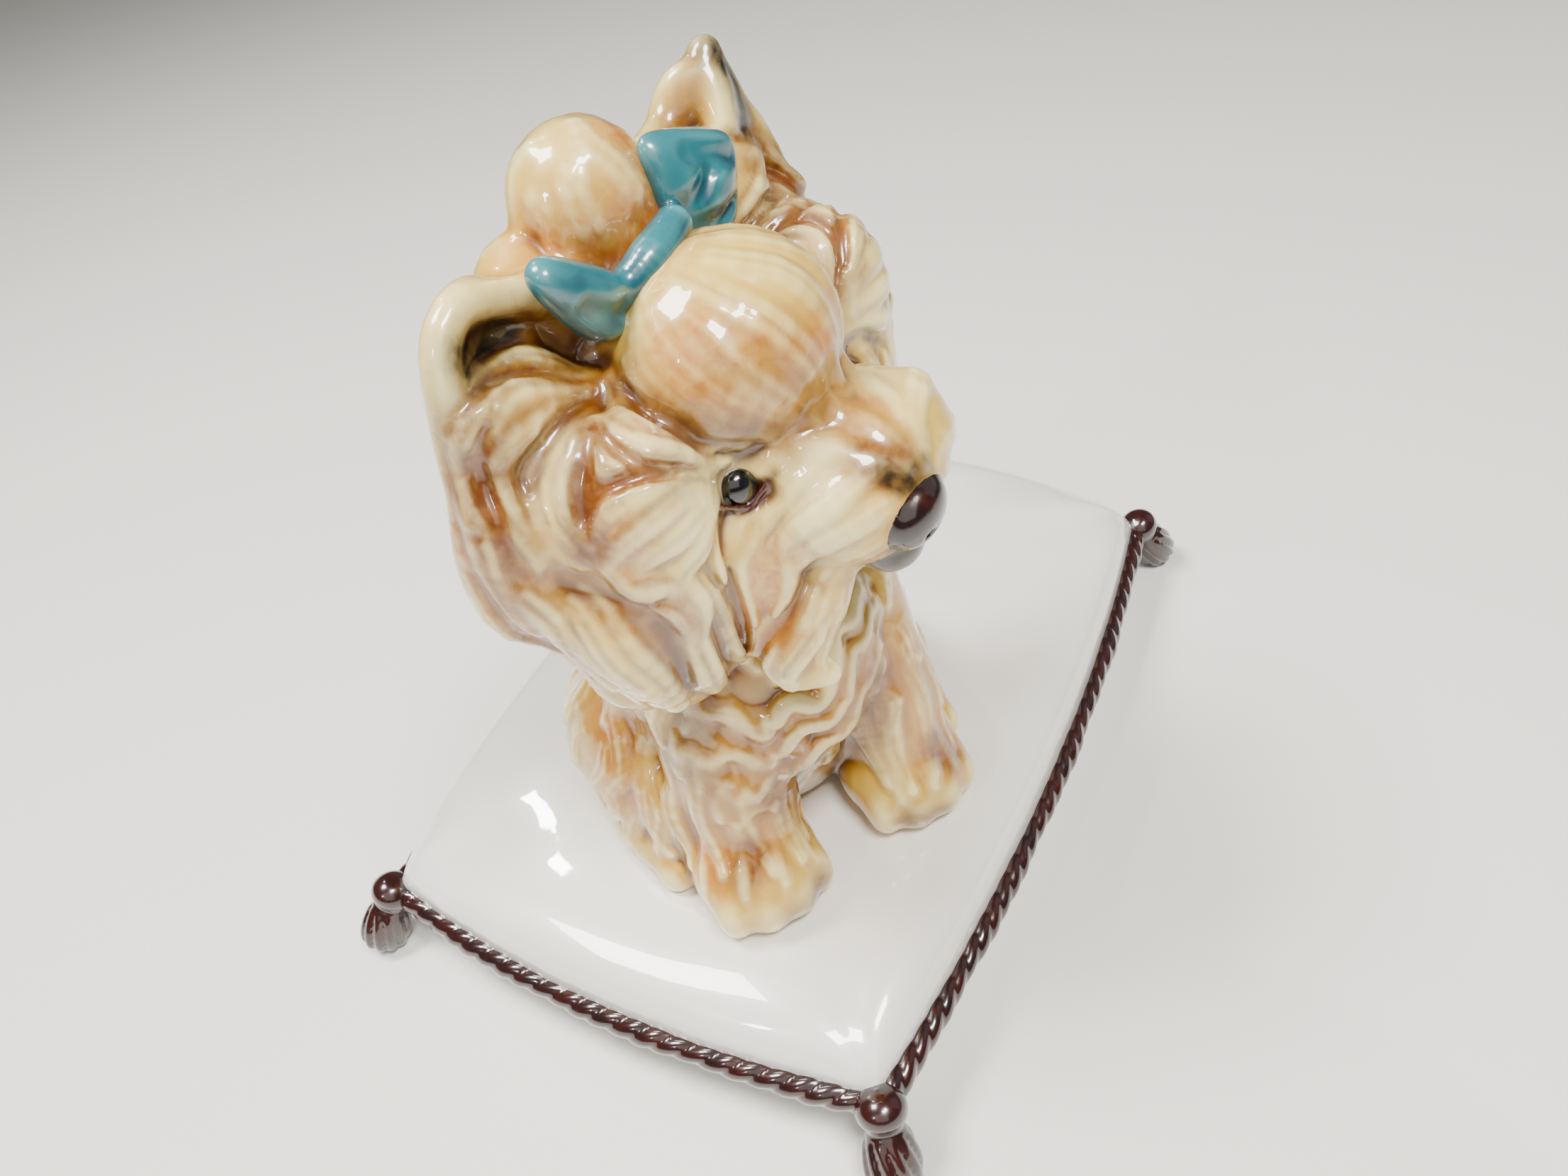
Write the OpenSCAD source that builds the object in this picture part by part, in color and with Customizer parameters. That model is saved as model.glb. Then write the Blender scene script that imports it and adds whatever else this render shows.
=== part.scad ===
// Glazed ceramic puppy with a bow, sitting on a corded and tasselled pillow.
// The figurine rests on z = 0 and faces -Y. X runs along the pillow's long side.

/* [Cushion] */
// Length of the pillow between its corners, along X
cushion_length = 142; // [136:1:150]
// Depth of the pillow between its corners, along Y
cushion_depth = 100; // [96:1:106]
// Height of the corded seam above the table
seam_height = 12; // [10:0.5:14]
// Height of the pillow's crown above the seam
crown_height = 14; // [12:0.5:15]
// How far the middle of each side bows outwards
side_bow = 5; // [3:0.5:7]
// Thickness of the cast clay wall
wall = 4; // [3:0.5:5]
// Radius of the vent hole in the foot
vent_radius = 4; // [3:0.5:6]

/* [Cord and tassels] */
// Radius of the twisted cord
cord_radius = 2.1; // [1.6:0.1:2.6]
// Radius of a tassel's skirt
tassel_radius = 4.6; // [3.8:0.1:5.4]
// Length of a tassel's skirt
tassel_length = 12.5; // [10:0.5:12.5]

/* [Dog] */
// How far the body is turned from -Y towards -X, in degrees
body_turn = 32; // [26:1:38]
// How far the head is turned from -Y towards -X, in degrees
head_turn = 4; // [0:1:10]
// How far the head is tilted, with its left ear up, in degrees
head_tilt = 7; // [3:1:10]
// Height of the head's centre above the table
head_height = 101; // [98:1:103]
// Half width of the skull
skull_radius = 24; // [22:0.5:26]
// Radius of the ball of hair above the bow
topknot_radius = 9.2; // [8:0.2:10]
// Length of each bow loop
loop_length = 15; // [13:0.5:17]

/* [Hidden] */

// Colours of the glazes
cream = [0.93, 0.87, 0.77];
tan_hair = [0.83, 0.68, 0.54];
white_glaze = [0.93, 0.92, 0.90];
maroon = [0.24, 0.07, 0.06];
turquoise = [0.35, 0.66, 0.74];
black_glaze = [0.05, 0.05, 0.05];
lip_grey = [0.66, 0.62, 0.62];

// Feet of the dog's own frames: the body's on the table, the head's at the skull's centre
body_at = [-22, -6, 0];
head_at = [-30, -15, head_height];
left = 1;
right = -1;
// The ears, topknot and bow sit this far to the left of the skull's middle
crown_shift = 3.5;

half_length = cushion_length / 2;
half_depth = cushion_depth / 2;
// Number of points round each outline of the pillow, a multiple of 4
outline_points = 48;
// Outlines from the middle of the pillow to its seam, as shares of its size
outline_steps = [0.25, 0.5, 0.72, 0.88, 0.96, 0.99];
// How soon the pillow's foot and crown reach their full height
foot_flatness = 1.5;
crown_flatness = 1.25;
// Shape of the pillow's flanks: the smaller, the steeper they rise from the seam
roundness = 0.32;
// Points along one length of cord, and round it
cord_rings = 30;
cord_sides = 8;

// ---- general shapes ----

// Evaluates everything inside it as one mesh
module as_mesh() {
    resize([0, 0, 0]) children();
}

// Skin over a list of rings with equal numbers of points, closed by a fan at each end
module skin(rings) {
    n = len(rings[0]);
    last = len(rings) - 1;
    first_middle = (last + 1) * n;
    points = concat([for (ring = rings) each ring], [middle(rings[0]), middle(rings[last])]);
    sides = [for (k = [0:last - 1], i = [0:n - 1]) each [
        [k * n + i, k * n + (i + 1) % n, (k + 1) * n + i],
        [k * n + (i + 1) % n, (k + 1) * n + (i + 1) % n, (k + 1) * n + i]
    ]];
    start_fan = [for (i = [0:n - 1]) [first_middle, (i + 1) % n, i]];
    end_fan = [for (i = [0:n - 1]) [first_middle + 1, last * n + i, last * n + (i + 1) % n]];
    polyhedron(points, [for (face = concat(sides, start_fan, end_fan)) [face[2], face[1], face[0]]]);
}

function middle(points) = [for (axis = [0:2]) sum([for (p = points) p[axis]]) / len(points)];
function sum(values) = [for (v = values) 1] * values;

module ellipsoid(centre, radii, sides = 24) {
    translate(centre) scale(radii) sphere(r = 1, $fn = sides);
}

// Tapered round-ended bar between two points
module taper(from, from_radius, to, to_radius, sides = 20) {
    hull() {
        translate(from) sphere(r = from_radius, $fn = sides);
        translate(to) sphere(r = to_radius, $fn = sides);
    }
}

// Frames of the dog: +X is its left, -Y is forward
module in_body() {
    translate(body_at) rotate([0, 0, -body_turn]) children();
}

module in_head() {
    translate(head_at) rotate([0, -head_tilt, -head_turn]) children();
}

// ---- cushion ----

// Point of the unit square's edge, starting at (-1, -1) and going round anticlockwise
function square_point(i, n) =
    let (side = floor(4 * i / n), along = sin(90 * (2 * (4 * i / n - side) - 1)))
    side == 0 ? [along, -1] : side == 1 ? [1, along] : side == 2 ? [-along, 1] : [-1, -along];

// Seam outline: straight between the corners, plus a bow that dies out at each corner
function seam_point(i, n, length, depth) =
    let (p = square_point(i, n), bow = (1 - p[0] * p[0]) + (1 - p[1] * p[1]))
    [
        p[0] * length + (abs(p[0]) == 1 ? p[0] * side_bow * bow : 0),
        p[1] * depth + (abs(p[1]) == 1 ? p[1] * side_bow * bow : 0)
    ];

// How full the pillow is at a share of its size: 1 in the middle, 0 at the seam
function fullness(p) = pow((1 - p[0] * p[0]) * (1 - p[1] * p[1]), roundness);

// One outline of the pillow, where flatness is how soon the pillow reaches its full height
function pillow_ring(share, n, length, depth, base, rise, flatness) = [
    for (i = [0:n - 1])
        let (edge = seam_point(i, n, length, depth), p = share * square_point(i, n))
        [share * edge[0], share * edge[1], base + rise * min(1, flatness * fullness(p))]
];

module pillow(length, depth, base, rise, drop) {
    n = outline_points;
    steps = len(outline_steps);
    skin(concat(
        [for (k = [0:steps - 1]) pillow_ring(outline_steps[k], n, length, depth, base, -drop, foot_flatness)],
        [pillow_ring(1, n, length, depth, base, 0, 1)],
        [for (k = [steps - 1:-1:0]) pillow_ring(outline_steps[k], n, length, depth, base, rise, crown_flatness)]
    ));
}

// The pillow stops where the cord round its seam begins
module cushion_outside() {
    pillow(half_length - cord_radius, half_depth - cord_radius, seam_height, crown_height, seam_height);
}

// Vent that joins the dog's hollow to the pillow's
module body_vent() {
    translate([body_at[0], body_at[1], seam_height]) cylinder(h = 40, r = vent_radius, $fn = 24);
}

module cushion() {
    inset = 2 * wall;
    color(white_glaze) as_mesh() difference() {
        cushion_outside();
        pillow(half_length - inset, half_depth - inset, seam_height, crown_height - wall, seam_height - wall);
        translate([0, 0, -1]) cylinder(h = seam_height, r = vent_radius, $fn = 24);
        body_vent();
    }
}

// ---- cord and tassels ----

// Side 0 is the front, 1 the right, 2 the back and 3 the left
function cord_centre(side, t) =
    let (i = (side + t) * outline_points / 4, p = seam_point(i, outline_points, half_length, half_depth))
    [p[0], p[1], seam_height];

// A cord runs along one side and stops clear of the knobs at its ends
module cord(side) {
    knob_gap = 0.12;
    centres = [for (k = [0:cord_rings]) cord_centre(side, knob_gap + (1 - 2 * knob_gap) * k / cord_rings)];
    color(maroon) skin([for (k = [0:cord_rings])
        let (
            ahead = centres[min(k + 1, cord_rings)] - centres[max(k - 1, 0)],
            across = [ahead[1], -ahead[0], 0] / norm(ahead)
        )
        [for (j = [0:cord_sides - 1])
            centres[k] + cord_radius * (cos(360 * j / cord_sides) * across + [0, 0, sin(360 * j / cord_sides)])]
    ]);
}

// A tassel hangs from its corner and leans outwards towards the table
module tassel(x, y) {
    lean = 30;
    knob_rise = 1;
    knob_reach = 1.2;
    spread = atan2(y * half_depth, x * half_length);
    color(maroon) translate([x * half_length, y * half_depth, seam_height + knob_rise])
        rotate([0, 0, spread]) translate([knob_reach, 0, 0]) rotate([0, -lean, 0])
            rotate_extrude($fn = 24) polygon([
                [0, 3.6], [2.4, 3], [3.8, 1.4], [3.9, -0.6], [2.9, -2.4],
                [tassel_radius * 0.85, -5], [tassel_radius, -9], [tassel_radius * 0.9, -tassel_length + 0.6],
                [tassel_radius * 0.7, -tassel_length], [0, -tassel_length]
            ]);
}

// ---- body ----

module torso_outside() {
    in_body() {
        ellipsoid([0, -1, 54], [25, 24, 37], 32);
        ellipsoid([0, 6, 40], [26, 22, 22], 32);
    }
}

module torso() {
    color(cream) as_mesh() difference() {
        torso_outside();
        in_body() {
            ellipsoid([0, -1, 54], [25 - wall, 24 - wall, 37 - wall]);
            translate([0, 0, seam_height]) cylinder(h = 30, r = 10, $fn = 24);
        }
        cushion_outside();
        head_outside();
    }
}

// Short tail curled up the back
module tail() {
    color(tan_hair) as_mesh() difference() {
        in_body() {
            taper([0, 26, 32], 6, [3, 33, 38], 6);
            taper([3, 33, 38], 6, [4, 32, 50], 4);
        }
        torso_outside();
        cushion_outside();
    }
}

module haunch_outside(side) {
    in_body() ellipsoid([side * 23.5, 4, 38], [11.5, 20, 18]);
}

module haunch(side) {
    color(tan_hair) as_mesh() difference() {
        haunch_outside(side);
        torso_outside();
        cushion_outside();
    }
}

module hind_paw_outside(side) {
    in_body() ellipsoid([side * 25, -12, 28], [7.5, 12, 7]);
}

module hind_paw(side) {
    color(cream) as_mesh() difference() {
        hind_paw_outside(side);
        haunch_outside(side);
        torso_outside();
        cushion_outside();
    }
}

module foreleg_outside(side) {
    in_body() {
        taper([side * 13, -14, 66], 10, [side * 14.5, -23, 36], 8);
        ellipsoid([side * 14.3 - 0.7, -26.3, 30], [9.5, 11.5, 8.5]);
    }
}

module foreleg(side) {
    color(cream) as_mesh() difference() {
        foreleg_outside(side);
        torso_outside();
        haunch_outside(side);
        hind_paw_outside(side);
        cushion_outside();
    }
}

module chest_ruff_outside() {
    in_body() ellipsoid([-1, -19, 62], [17, 12, 19]);
}

module chest_ruff() {
    color(cream) as_mesh() difference() {
        chest_ruff_outside();
        torso_outside();
        for (side = [left, right]) foreleg_outside(side);
        head_outside();
    }
}

// ---- head ----

module head_outside() {
    in_head() ellipsoid([0, 3, 0], [skull_radius, skull_radius - 2, skull_radius - 2], 32);
}

module head() {
    inner = skull_radius - wall;
    color(cream) as_mesh() difference() {
        head_outside();
        in_head() ellipsoid([0, 3, 0], [inner, inner - 2, inner - 2]);
        // Neck opening, above the torso's hollow
        in_body() translate([0, -3, head_height - skull_radius - 8]) cylinder(h = 20, r = 9, $fn = 24);
    }
}

module muzzle_outside() {
    in_head() ellipsoid([0, -23, -1], [12, 12, 10]);
}

module muzzle() {
    color(cream) as_mesh() difference() {
        muzzle_outside();
        head_outside();
    }
}

module nose() {
    color(maroon) as_mesh() difference() {
        in_head() ellipsoid([-0.7, -33, -3.2], [4.4, 3.6, 4], 20);
        muzzle_outside();
    }
}

module lower_lip_outside() {
    in_head() ellipsoid([-1, -27.5, -10], [5.5, 5.5, 4], 20);
}

module lower_lip() {
    color(lip_grey) as_mesh() difference() {
        lower_lip_outside();
        muzzle_outside();
        head_outside();
    }
}

module beard() {
    color(cream) as_mesh() difference() {
        in_head() ellipsoid([0, -18, -20], [9, 8, 13]);
        lower_lip_outside();
        muzzle_outside();
        head_outside();
        torso_outside();
        chest_ruff_outside();
        for (side = [left, right]) cheek_hair_outside(side);
    }
}

module eye(side) {
    color(black_glaze) as_mesh() difference() {
        in_head() ellipsoid([side * 11.8, -14.5, 4.5], [3, 3, 3.2], 20);
        head_outside();
        muzzle_outside();
    }
}

module ear_outside(side) {
    in_head() translate([crown_shift, 0, 0]) hull() {
        translate([side * 11, 5, 24]) sphere(r = 4, $fn = 20);
        translate([side * 17, 5, 12]) sphere(r = 5, $fn = 20);
        translate([side * 28, 3, 12]) sphere(r = 4, $fn = 20);
        translate([side * 30, 4, 27]) sphere(r = 3.5, $fn = 20);
        translate([side * 28, 7, 37]) sphere(r = 3, $fn = 20);
    }
}

// The inside of the ear, scooped out of its front
module ear_cup(side) {
    in_head() translate([crown_shift + side * 22, -2, 24]) rotate([0, side * 12, 0])
        scale([8, 6.5, 11]) sphere(r = 1, $fn = 20);
}

module ear(side) {
    color(tan_hair) as_mesh() difference() {
        ear_outside(side);
        ear_cup(side);
        head_outside();
        forelock_outside();
    }
}

module cheek_hair_outside(side) {
    in_head() {
        ellipsoid([side * 23, -1, -7], [12, 14, 23]);
        ellipsoid([side * 22 + 1.5, -7, 8], [9, 10, 12], 20);
    }
}

module cheek_hair(side) {
    color(tan_hair) as_mesh() difference() {
        cheek_hair_outside(side);
        head_outside();
        muzzle_outside();
        forelock_outside();
        ear_outside(side);
        torso_outside();
        chest_ruff_outside();
        foreleg_outside(side);
    }
}

module forelock_outside() {
    in_head() ellipsoid([1, -8, 16], [15, 14, 13]);
}

module forelock() {
    color(tan_hair) as_mesh() difference() {
        forelock_outside();
        head_outside();
    }
}

module topknot_outside() {
    in_head() {
        ellipsoid([crown_shift, 9, 33.5], topknot_radius * [1, 0.95, 1]);
        translate([crown_shift, 6, 20]) cylinder(h = 10, r = 0.7 * topknot_radius, $fn = 20);
    }
}

module topknot() {
    color(tan_hair) as_mesh() difference() {
        topknot_outside();
        head_outside();
        forelock_outside();
    }
}

// ---- bow ----

// Frame of the bow, at the middle of its knot
module in_bow() {
    in_head() translate([crown_shift, 0, 27]) children();
}

module bow_knot_outside() {
    in_bow() ellipsoid([0, 0, 0], [4, 4, 3.6], 20);
}

module bow_knot() {
    color(turquoise) as_mesh() difference() {
        bow_knot_outside();
        topknot_outside();
        forelock_outside();
    }
}

// A loop opens from the knot into a folded, flat-sided bag
module bow_loop(side) {
    color(turquoise) as_mesh() difference() {
        in_bow() hull() {
            translate([side * 3, 0, 0]) sphere(r = 2.4, $fn = 20);
            translate([side * (loop_length - 1), 4, 4]) sphere(r = 3.2, $fn = 20);
            translate([side * loop_length, 2, -4]) sphere(r = 3.2, $fn = 20);
            translate([side * (loop_length - 6), -1, -7]) sphere(r = 2.4, $fn = 20);
        }
        bow_knot_outside();
        topknot_outside();
        forelock_outside();
        head_outside();
        ear_outside(side);
    }
}

cushion();
cord(0);  // cord_front
cord(1);  // cord_right
cord(2);  // cord_back
cord(3);  // cord_left
tassel(-1, -1);  // tassel_front_left
tassel(1, -1);  // tassel_front_right
tassel(1, 1);  // tassel_back_right
tassel(-1, 1);  // tassel_back_left
torso();
tail();
haunch(left);  // haunch_left
haunch(right);  // haunch_right
hind_paw(left);  // hind_paw_left
hind_paw(right);  // hind_paw_right
foreleg(left);  // foreleg_left
foreleg(right);  // foreleg_right
chest_ruff();
head();
muzzle();
nose();
lower_lip();
beard();
eye(left);  // eye_left
eye(right);  // eye_right
ear(left);  // ear_left
ear(right);  // ear_right
cheek_hair(left);  // cheek_hair_left
cheek_hair(right);  // cheek_hair_right
forelock();
topknot();
bow_knot();
bow_loop(left);  // bow_loop_left
bow_loop(right);  // bow_loop_right
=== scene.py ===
"""A glazed ceramic puppy with a bow, sitting on a corded and tasselled pillow."""

import math

import bpy
import numpy as np
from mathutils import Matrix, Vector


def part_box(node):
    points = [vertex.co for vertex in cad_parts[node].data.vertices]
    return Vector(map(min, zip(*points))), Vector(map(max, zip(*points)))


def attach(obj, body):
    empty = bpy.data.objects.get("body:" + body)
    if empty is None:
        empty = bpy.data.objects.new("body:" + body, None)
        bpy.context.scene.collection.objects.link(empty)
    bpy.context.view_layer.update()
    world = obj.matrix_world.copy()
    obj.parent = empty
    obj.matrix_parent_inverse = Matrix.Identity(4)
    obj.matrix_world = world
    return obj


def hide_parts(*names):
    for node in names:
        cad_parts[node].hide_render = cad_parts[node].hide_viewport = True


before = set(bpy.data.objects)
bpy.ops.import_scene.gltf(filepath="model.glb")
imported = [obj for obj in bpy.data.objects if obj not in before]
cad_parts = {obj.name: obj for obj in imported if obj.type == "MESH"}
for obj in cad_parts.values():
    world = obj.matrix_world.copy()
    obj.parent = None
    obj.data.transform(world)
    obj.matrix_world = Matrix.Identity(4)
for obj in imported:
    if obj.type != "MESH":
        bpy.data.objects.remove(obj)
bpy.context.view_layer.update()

import openvdb
from mathutils import Matrix, Vector

MM = 0.001
LEFT, RIGHT = 1, -1
SIDE_NAME = {LEFT: "left", RIGHT: "right"}
rng = np.random.default_rng(seed=11)


# ---------------------------------------------------------------- frames of the dog

def turned(a, b, degrees):
    """Two directions turned in their own plane, the first towards the second."""
    angle = math.radians(degrees)
    return math.cos(angle) * a + math.sin(angle) * b, math.cos(angle) * b - math.sin(angle) * a


class Space:
    """A frame whose directions are the dog's left, forward and up. Lengths are in millimetres."""

    def __init__(self, origin, turn, tilt=0.0):
        left, forward = turned(np.array([1.0, 0, 0]), np.array([0, -1.0, 0]), turn)
        left, up = turned(left, np.array([0, 0, 1.0]), tilt)
        self.origin = np.array(origin, float)
        self.axes = np.array([left, forward, up])

    def out(self, points):
        """Points of this frame, in the frame of the whole object."""
        return self.origin + np.asarray(points, float) @ self.axes


def box_mm(node):
    """Low and high corners of a CAD node, in millimetres."""
    low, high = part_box(node)
    return np.array(low) / MM, np.array(high) / MM


def middle_mm(node):
    return sum(box_mm(node)) / 2


def mirrored(path, side):
    """A path of outward, forward, up on one side of the dog, as left, forward, up."""
    path = np.array(path, float)
    path[:, 0] *= side
    return path


# How far the head and the body are turned from -Y towards -X, and the head tilted left side up, in degrees
HEAD_TURN, HEAD_TILT, BODY_TURN = 4.0, 7.0, 32.0
HEAD = Space(middle_mm("head"), HEAD_TURN, HEAD_TILT)
HEAD.origin = HEAD.out([0, 3, 0])
BODY = Space([*middle_mm("torso")[:2], 0.0], BODY_TURN)
BODY.origin = BODY.out([-0.4, 2, 0])


# ---------------------------------------------------------------- sculpting with distance fields

VOXEL = 0.42
RIBBON_VOXEL = 0.28
# Distances are held up to FAR, in a box that stands MARGIN out from each shape
FAR = 6.0
MARGIN = 4.0
# Brings the distances from a flattened bar near their true size
FLAT_SCALE = 0.88


def blurred(values, reach):
    """Box blur over a reach in voxels, passed twice along each axis."""
    for axis in range(3):
        for _ in range(2):
            pad = [(reach + 1, reach) if k == axis else (0, 0) for k in range(3)]
            total = np.cumsum(np.pad(values, pad, mode="edge"), axis=axis, dtype=np.float64)
            count = values.shape[axis]
            ahead = np.take(total, np.arange(2 * reach + 1, 2 * reach + 1 + count), axis=axis)
            behind = np.take(total, np.arange(count), axis=axis)
            values = ((ahead - behind) / (2 * reach + 1)).astype(np.float32)
    return values


class Clay:
    """Smoothly joined shapes as one field of distances in mm, with each piece's own field beside it."""

    def __init__(self, low, high, voxel):
        self.low = np.array(low, float)
        self.voxel = voxel
        self.size = np.ceil((np.array(high) - self.low) / voxel).astype(int) + 1
        self.ticks = [(self.low[i] + voxel * np.arange(self.size[i])).astype(np.float32) for i in range(3)]
        self.field = np.full(self.size, FAR, np.float32)
        self.own = {}
        self.plain = None

    def window(self, low, high):
        """Slices of the grid that hold a box, grown by the margin."""
        first = np.floor((np.array(low) - MARGIN - self.low) / self.voxel).astype(int)
        last = np.ceil((np.array(high) + MARGIN - self.low) / self.voxel).astype(int) + 1
        return tuple(slice(max(a, 0), max(min(b, n), 0)) for a, b, n in zip(first, last, self.size))

    def places(self, window):
        x, y, z = (t[w] for t, w in zip(self.ticks, window))
        return x[:, None, None], y[None, :, None], z[None, None, :]

    def owned(self, owner):
        if owner not in self.own:
            self.own[owner] = np.full(self.size, FAR, np.float32)
        return self.own[owner]

    def add(self, owner, window, distance, blend):
        """Joins a shape to the clay, rounding the join over the blend distance."""
        field = self.field[window]
        mix = np.clip(0.5 + 0.5 * (field - distance) / blend, 0, 1)
        field[...] = field + (distance - field) * mix - blend * mix * (1 - mix)
        own = self.owned(owner)[window]
        np.minimum(own, distance, out=own)

    def cut(self, window, distance, blend):
        """Carves a shape out of the clay."""
        field = self.field[window]
        mix = np.clip(0.5 - 0.5 * (field + distance) / blend, 0, 1)
        field[...] = field + (-distance - field) * mix + blend * mix * (1 - mix)

    def sample(self, values, points):
        """Values of a grid at points, blended between the eight nearest voxels."""
        p = (points - self.low) / self.voxel
        i = np.clip(np.floor(p).astype(int), 0, self.size - 2)
        f = np.clip(p - i, 0, 1)
        total = 0
        for corner in np.ndindex(2, 2, 2):
            weight = np.prod([f[:, k] if corner[k] else 1 - f[:, k] for k in range(3)], axis=0)
            total = total + weight * values[i[:, 0] + corner[0], i[:, 1] + corner[1], i[:, 2] + corner[2]]
        return total

    def freeze(self):
        """Keeps the plain masses, for hair to be laid on."""
        self.plain = blurred(self.field, max(int(round(1.2 / self.voxel)), 1))

    def outward(self, points):
        """Unit normals of the plain masses."""
        slope = [self.sample(self.plain, points + step) - self.sample(self.plain, points - step)
                 for step in 1.2 * np.eye(3)]
        slope = np.stack(slope, 1)
        return slope / np.maximum(np.linalg.norm(slope, axis=1, keepdims=True), 1e-6)

    def drape(self, points):
        """Moves points onto the surface of the plain masses. Also gives the normals there."""
        for _ in range(5):
            normals = self.outward(points)
            points = points - normals * np.clip(self.sample(self.plain, points), -3, 3)[:, None]
        return points, self.outward(points)


def dot(places, direction):
    """How far each place of a grid lies along a direction."""
    return sum(place * np.float32(part) for place, part in zip(places, direction))


def ball_distance(places, centre, axes, radii):
    """Distance from an ellipsoid, true near its surface."""
    places = [place - np.float32(c) for place, c in zip(places, centre)]
    near = far = 0
    for axis, radius in zip(axes, radii):
        along = dot(places, axis) / np.float32(radius)
        near = near + along * along
        far = far + (along / np.float32(radius)) ** 2
    near = np.sqrt(near)
    return near * (near - 1) / np.maximum(np.sqrt(far), 1e-6)


class Ball:
    """An ellipsoid in one of the dog's frames, with its left side yawed forward, its front pitched up
    and its left side rolled up, in degrees."""

    def __init__(self, space, centre, radii, pitch=0.0, roll=0.0, yaw=0.0):
        self.centre = space.out(centre)
        left, forward, up = space.axes
        left, forward = turned(left, forward, yaw)
        forward, up = turned(forward, up, pitch)
        left, up = turned(left, up, roll)
        self.axes = np.array([left, forward, up])
        self.radii = np.array(radii, float)

    def field(self, clay):
        """The window of clay round the ball, and the distances in it."""
        reach = np.sqrt(((self.axes * self.radii[:, None]) ** 2).sum(0))
        window = clay.window(self.centre - reach, self.centre + reach)
        return window, ball_distance(clay.places(window), self.centre, self.axes, self.radii)

    def put(self, clay, owner, blend=3.0):
        clay.add(owner, *self.field(clay), blend)

    def carve(self, clay, blend=1.0):
        clay.cut(*self.field(clay), blend)

    def scatter(self, count):
        """Points spread evenly over the surface, in random order."""
        k = rng.permutation(count) + 0.5
        height = 1 - 2 * k / count
        turn = k * math.pi * (3 - math.sqrt(5))
        ring = np.sqrt(1 - height ** 2)
        unit = np.stack([ring * np.cos(turn), ring * np.sin(turn), height], 1)
        return self.centre + (unit * self.radii) @ self.axes


def smooth_path(points, count):
    """Catmull-Rom curve through the points."""
    points = np.asarray(points, float)
    padded = np.vstack([2 * points[0] - points[1], points, 2 * points[-1] - points[-2]])
    t = np.linspace(0, len(points) - 1, count)
    k = np.minimum(t.astype(int), len(points) - 2)
    f = (t - k)[:, None]
    a, b, c, d = padded[k], padded[k + 1], padded[k + 2], padded[k + 3]
    bend = 2 * a - 5 * b + 4 * c - d
    twist = 3 * b - a - 3 * c + d
    return 0.5 * (2 * b + (c - a) * f + bend * f ** 2 + twist * f ** 3)


def lock_radii(width, count, root=0.5, tip=0.3, belly=0.45):
    """Radius along a lock: a narrow root, a full belly and a tapering tip."""
    t = np.linspace(0, 1, count)
    rise = root + (1 - root) * np.sin(np.clip(t / belly, 0, 1) * math.pi / 2)
    fall = tip + (1 - tip) * np.cos(np.clip((t - belly) / (1 - belly), 0, 1) * math.pi / 2) ** 0.8
    return width / 2 * np.minimum(rise, fall)


def bar_distance(clay, points, normals, radii, ridges=1, depth=0.0, flat=1.0):
    """Distance from a bar swept along the points, flattened towards its normals and combed into ridges."""
    reach = radii.max() * 1.2
    window = clay.window(points.min(0) - reach, points.max(0) + reach)
    x, y, z = clay.places(window)
    shape = tuple(s.stop - s.start for s in window)
    distance = np.full(shape, FAR, np.float32)
    if min(shape) < 1:
        return window, distance
    phase = 0 if ridges % 2 else math.pi / 2
    for a, b, ra, rb, normal in zip(points[:-1], points[1:], radii[:-1], radii[1:], normals[:-1]):
        near = clay.window(np.minimum(a, b) - max(ra, rb), np.maximum(a, b) + max(ra, rb))
        part = tuple(slice(max(n.start - w.start, 0), max(n.stop - w.start, 0))
                     for n, w in zip(near, window))
        if min(p.stop - p.start for p in part) < 1:
            continue
        along = b - a
        length = max(np.linalg.norm(along), 1e-6)
        along = along / length
        side = np.cross(along, normal)
        side /= max(np.linalg.norm(side), 1e-6)
        rise = np.cross(side, along)
        px = x[part[0]] - np.float32(a[0])
        py = y[:, part[1]] - np.float32(a[1])
        pz = z[:, :, part[2]] - np.float32(a[2])
        t, s, h = (dot((px, py, pz), direction) for direction in (along, side, rise))
        q = np.clip(t / length, 0, 1)
        radius = ra + (rb - ra) * q
        t = t - q * length
        reached = (np.sqrt(s * s + (flat * h) ** 2 + t * t) - radius) * (FLAT_SCALE if flat > 1 else 1.0)
        if depth:
            across = np.clip(s / radius, -1.2, 1.2)
            crest = np.abs(np.cos(math.pi / 2 * ridges * across + phase)) ** 0.6
            reached = reached + depth * radius * (1 - crest)
        target = distance[part]
        np.minimum(target, reached, out=target)
    return window, distance


def ramp(values, count):
    """The given values spread evenly over a longer run."""
    values = np.atleast_1d(values)
    return np.interp(np.linspace(0, 1, count), np.linspace(0, 1, len(values)), values)


def tube(clay, owner, space, points, radii, blend=2.0, count=14):
    """A round bar along a smooth path, with its radius running through the given values."""
    path = smooth_path(space.out(points), count)
    facing = np.tile(space.axes[1], (count, 1))
    clay.add(owner, *bar_distance(clay, path, facing, ramp(radii, count)), blend)


def lock(clay, owner, path, width, rise=(0.3, 1.2, 0.8), ridges=2, depth=0.2, flat=1.3, blend=0.6,
         count=12, root=0.5, tip=0.35):
    """A lock of hair draped on the masses, whose crest stands above them by the rise from root to tip."""
    points, normals = clay.drape(smooth_path(path, count))
    radii = lock_radii(width, count, root, tip)
    points = points + normals * (ramp(rise, count) - radii / flat)[:, None]
    clay.add(owner, *bar_distance(clay, points, normals, radii, ridges, depth, flat), blend)
    return points, normals, radii, flat


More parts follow.
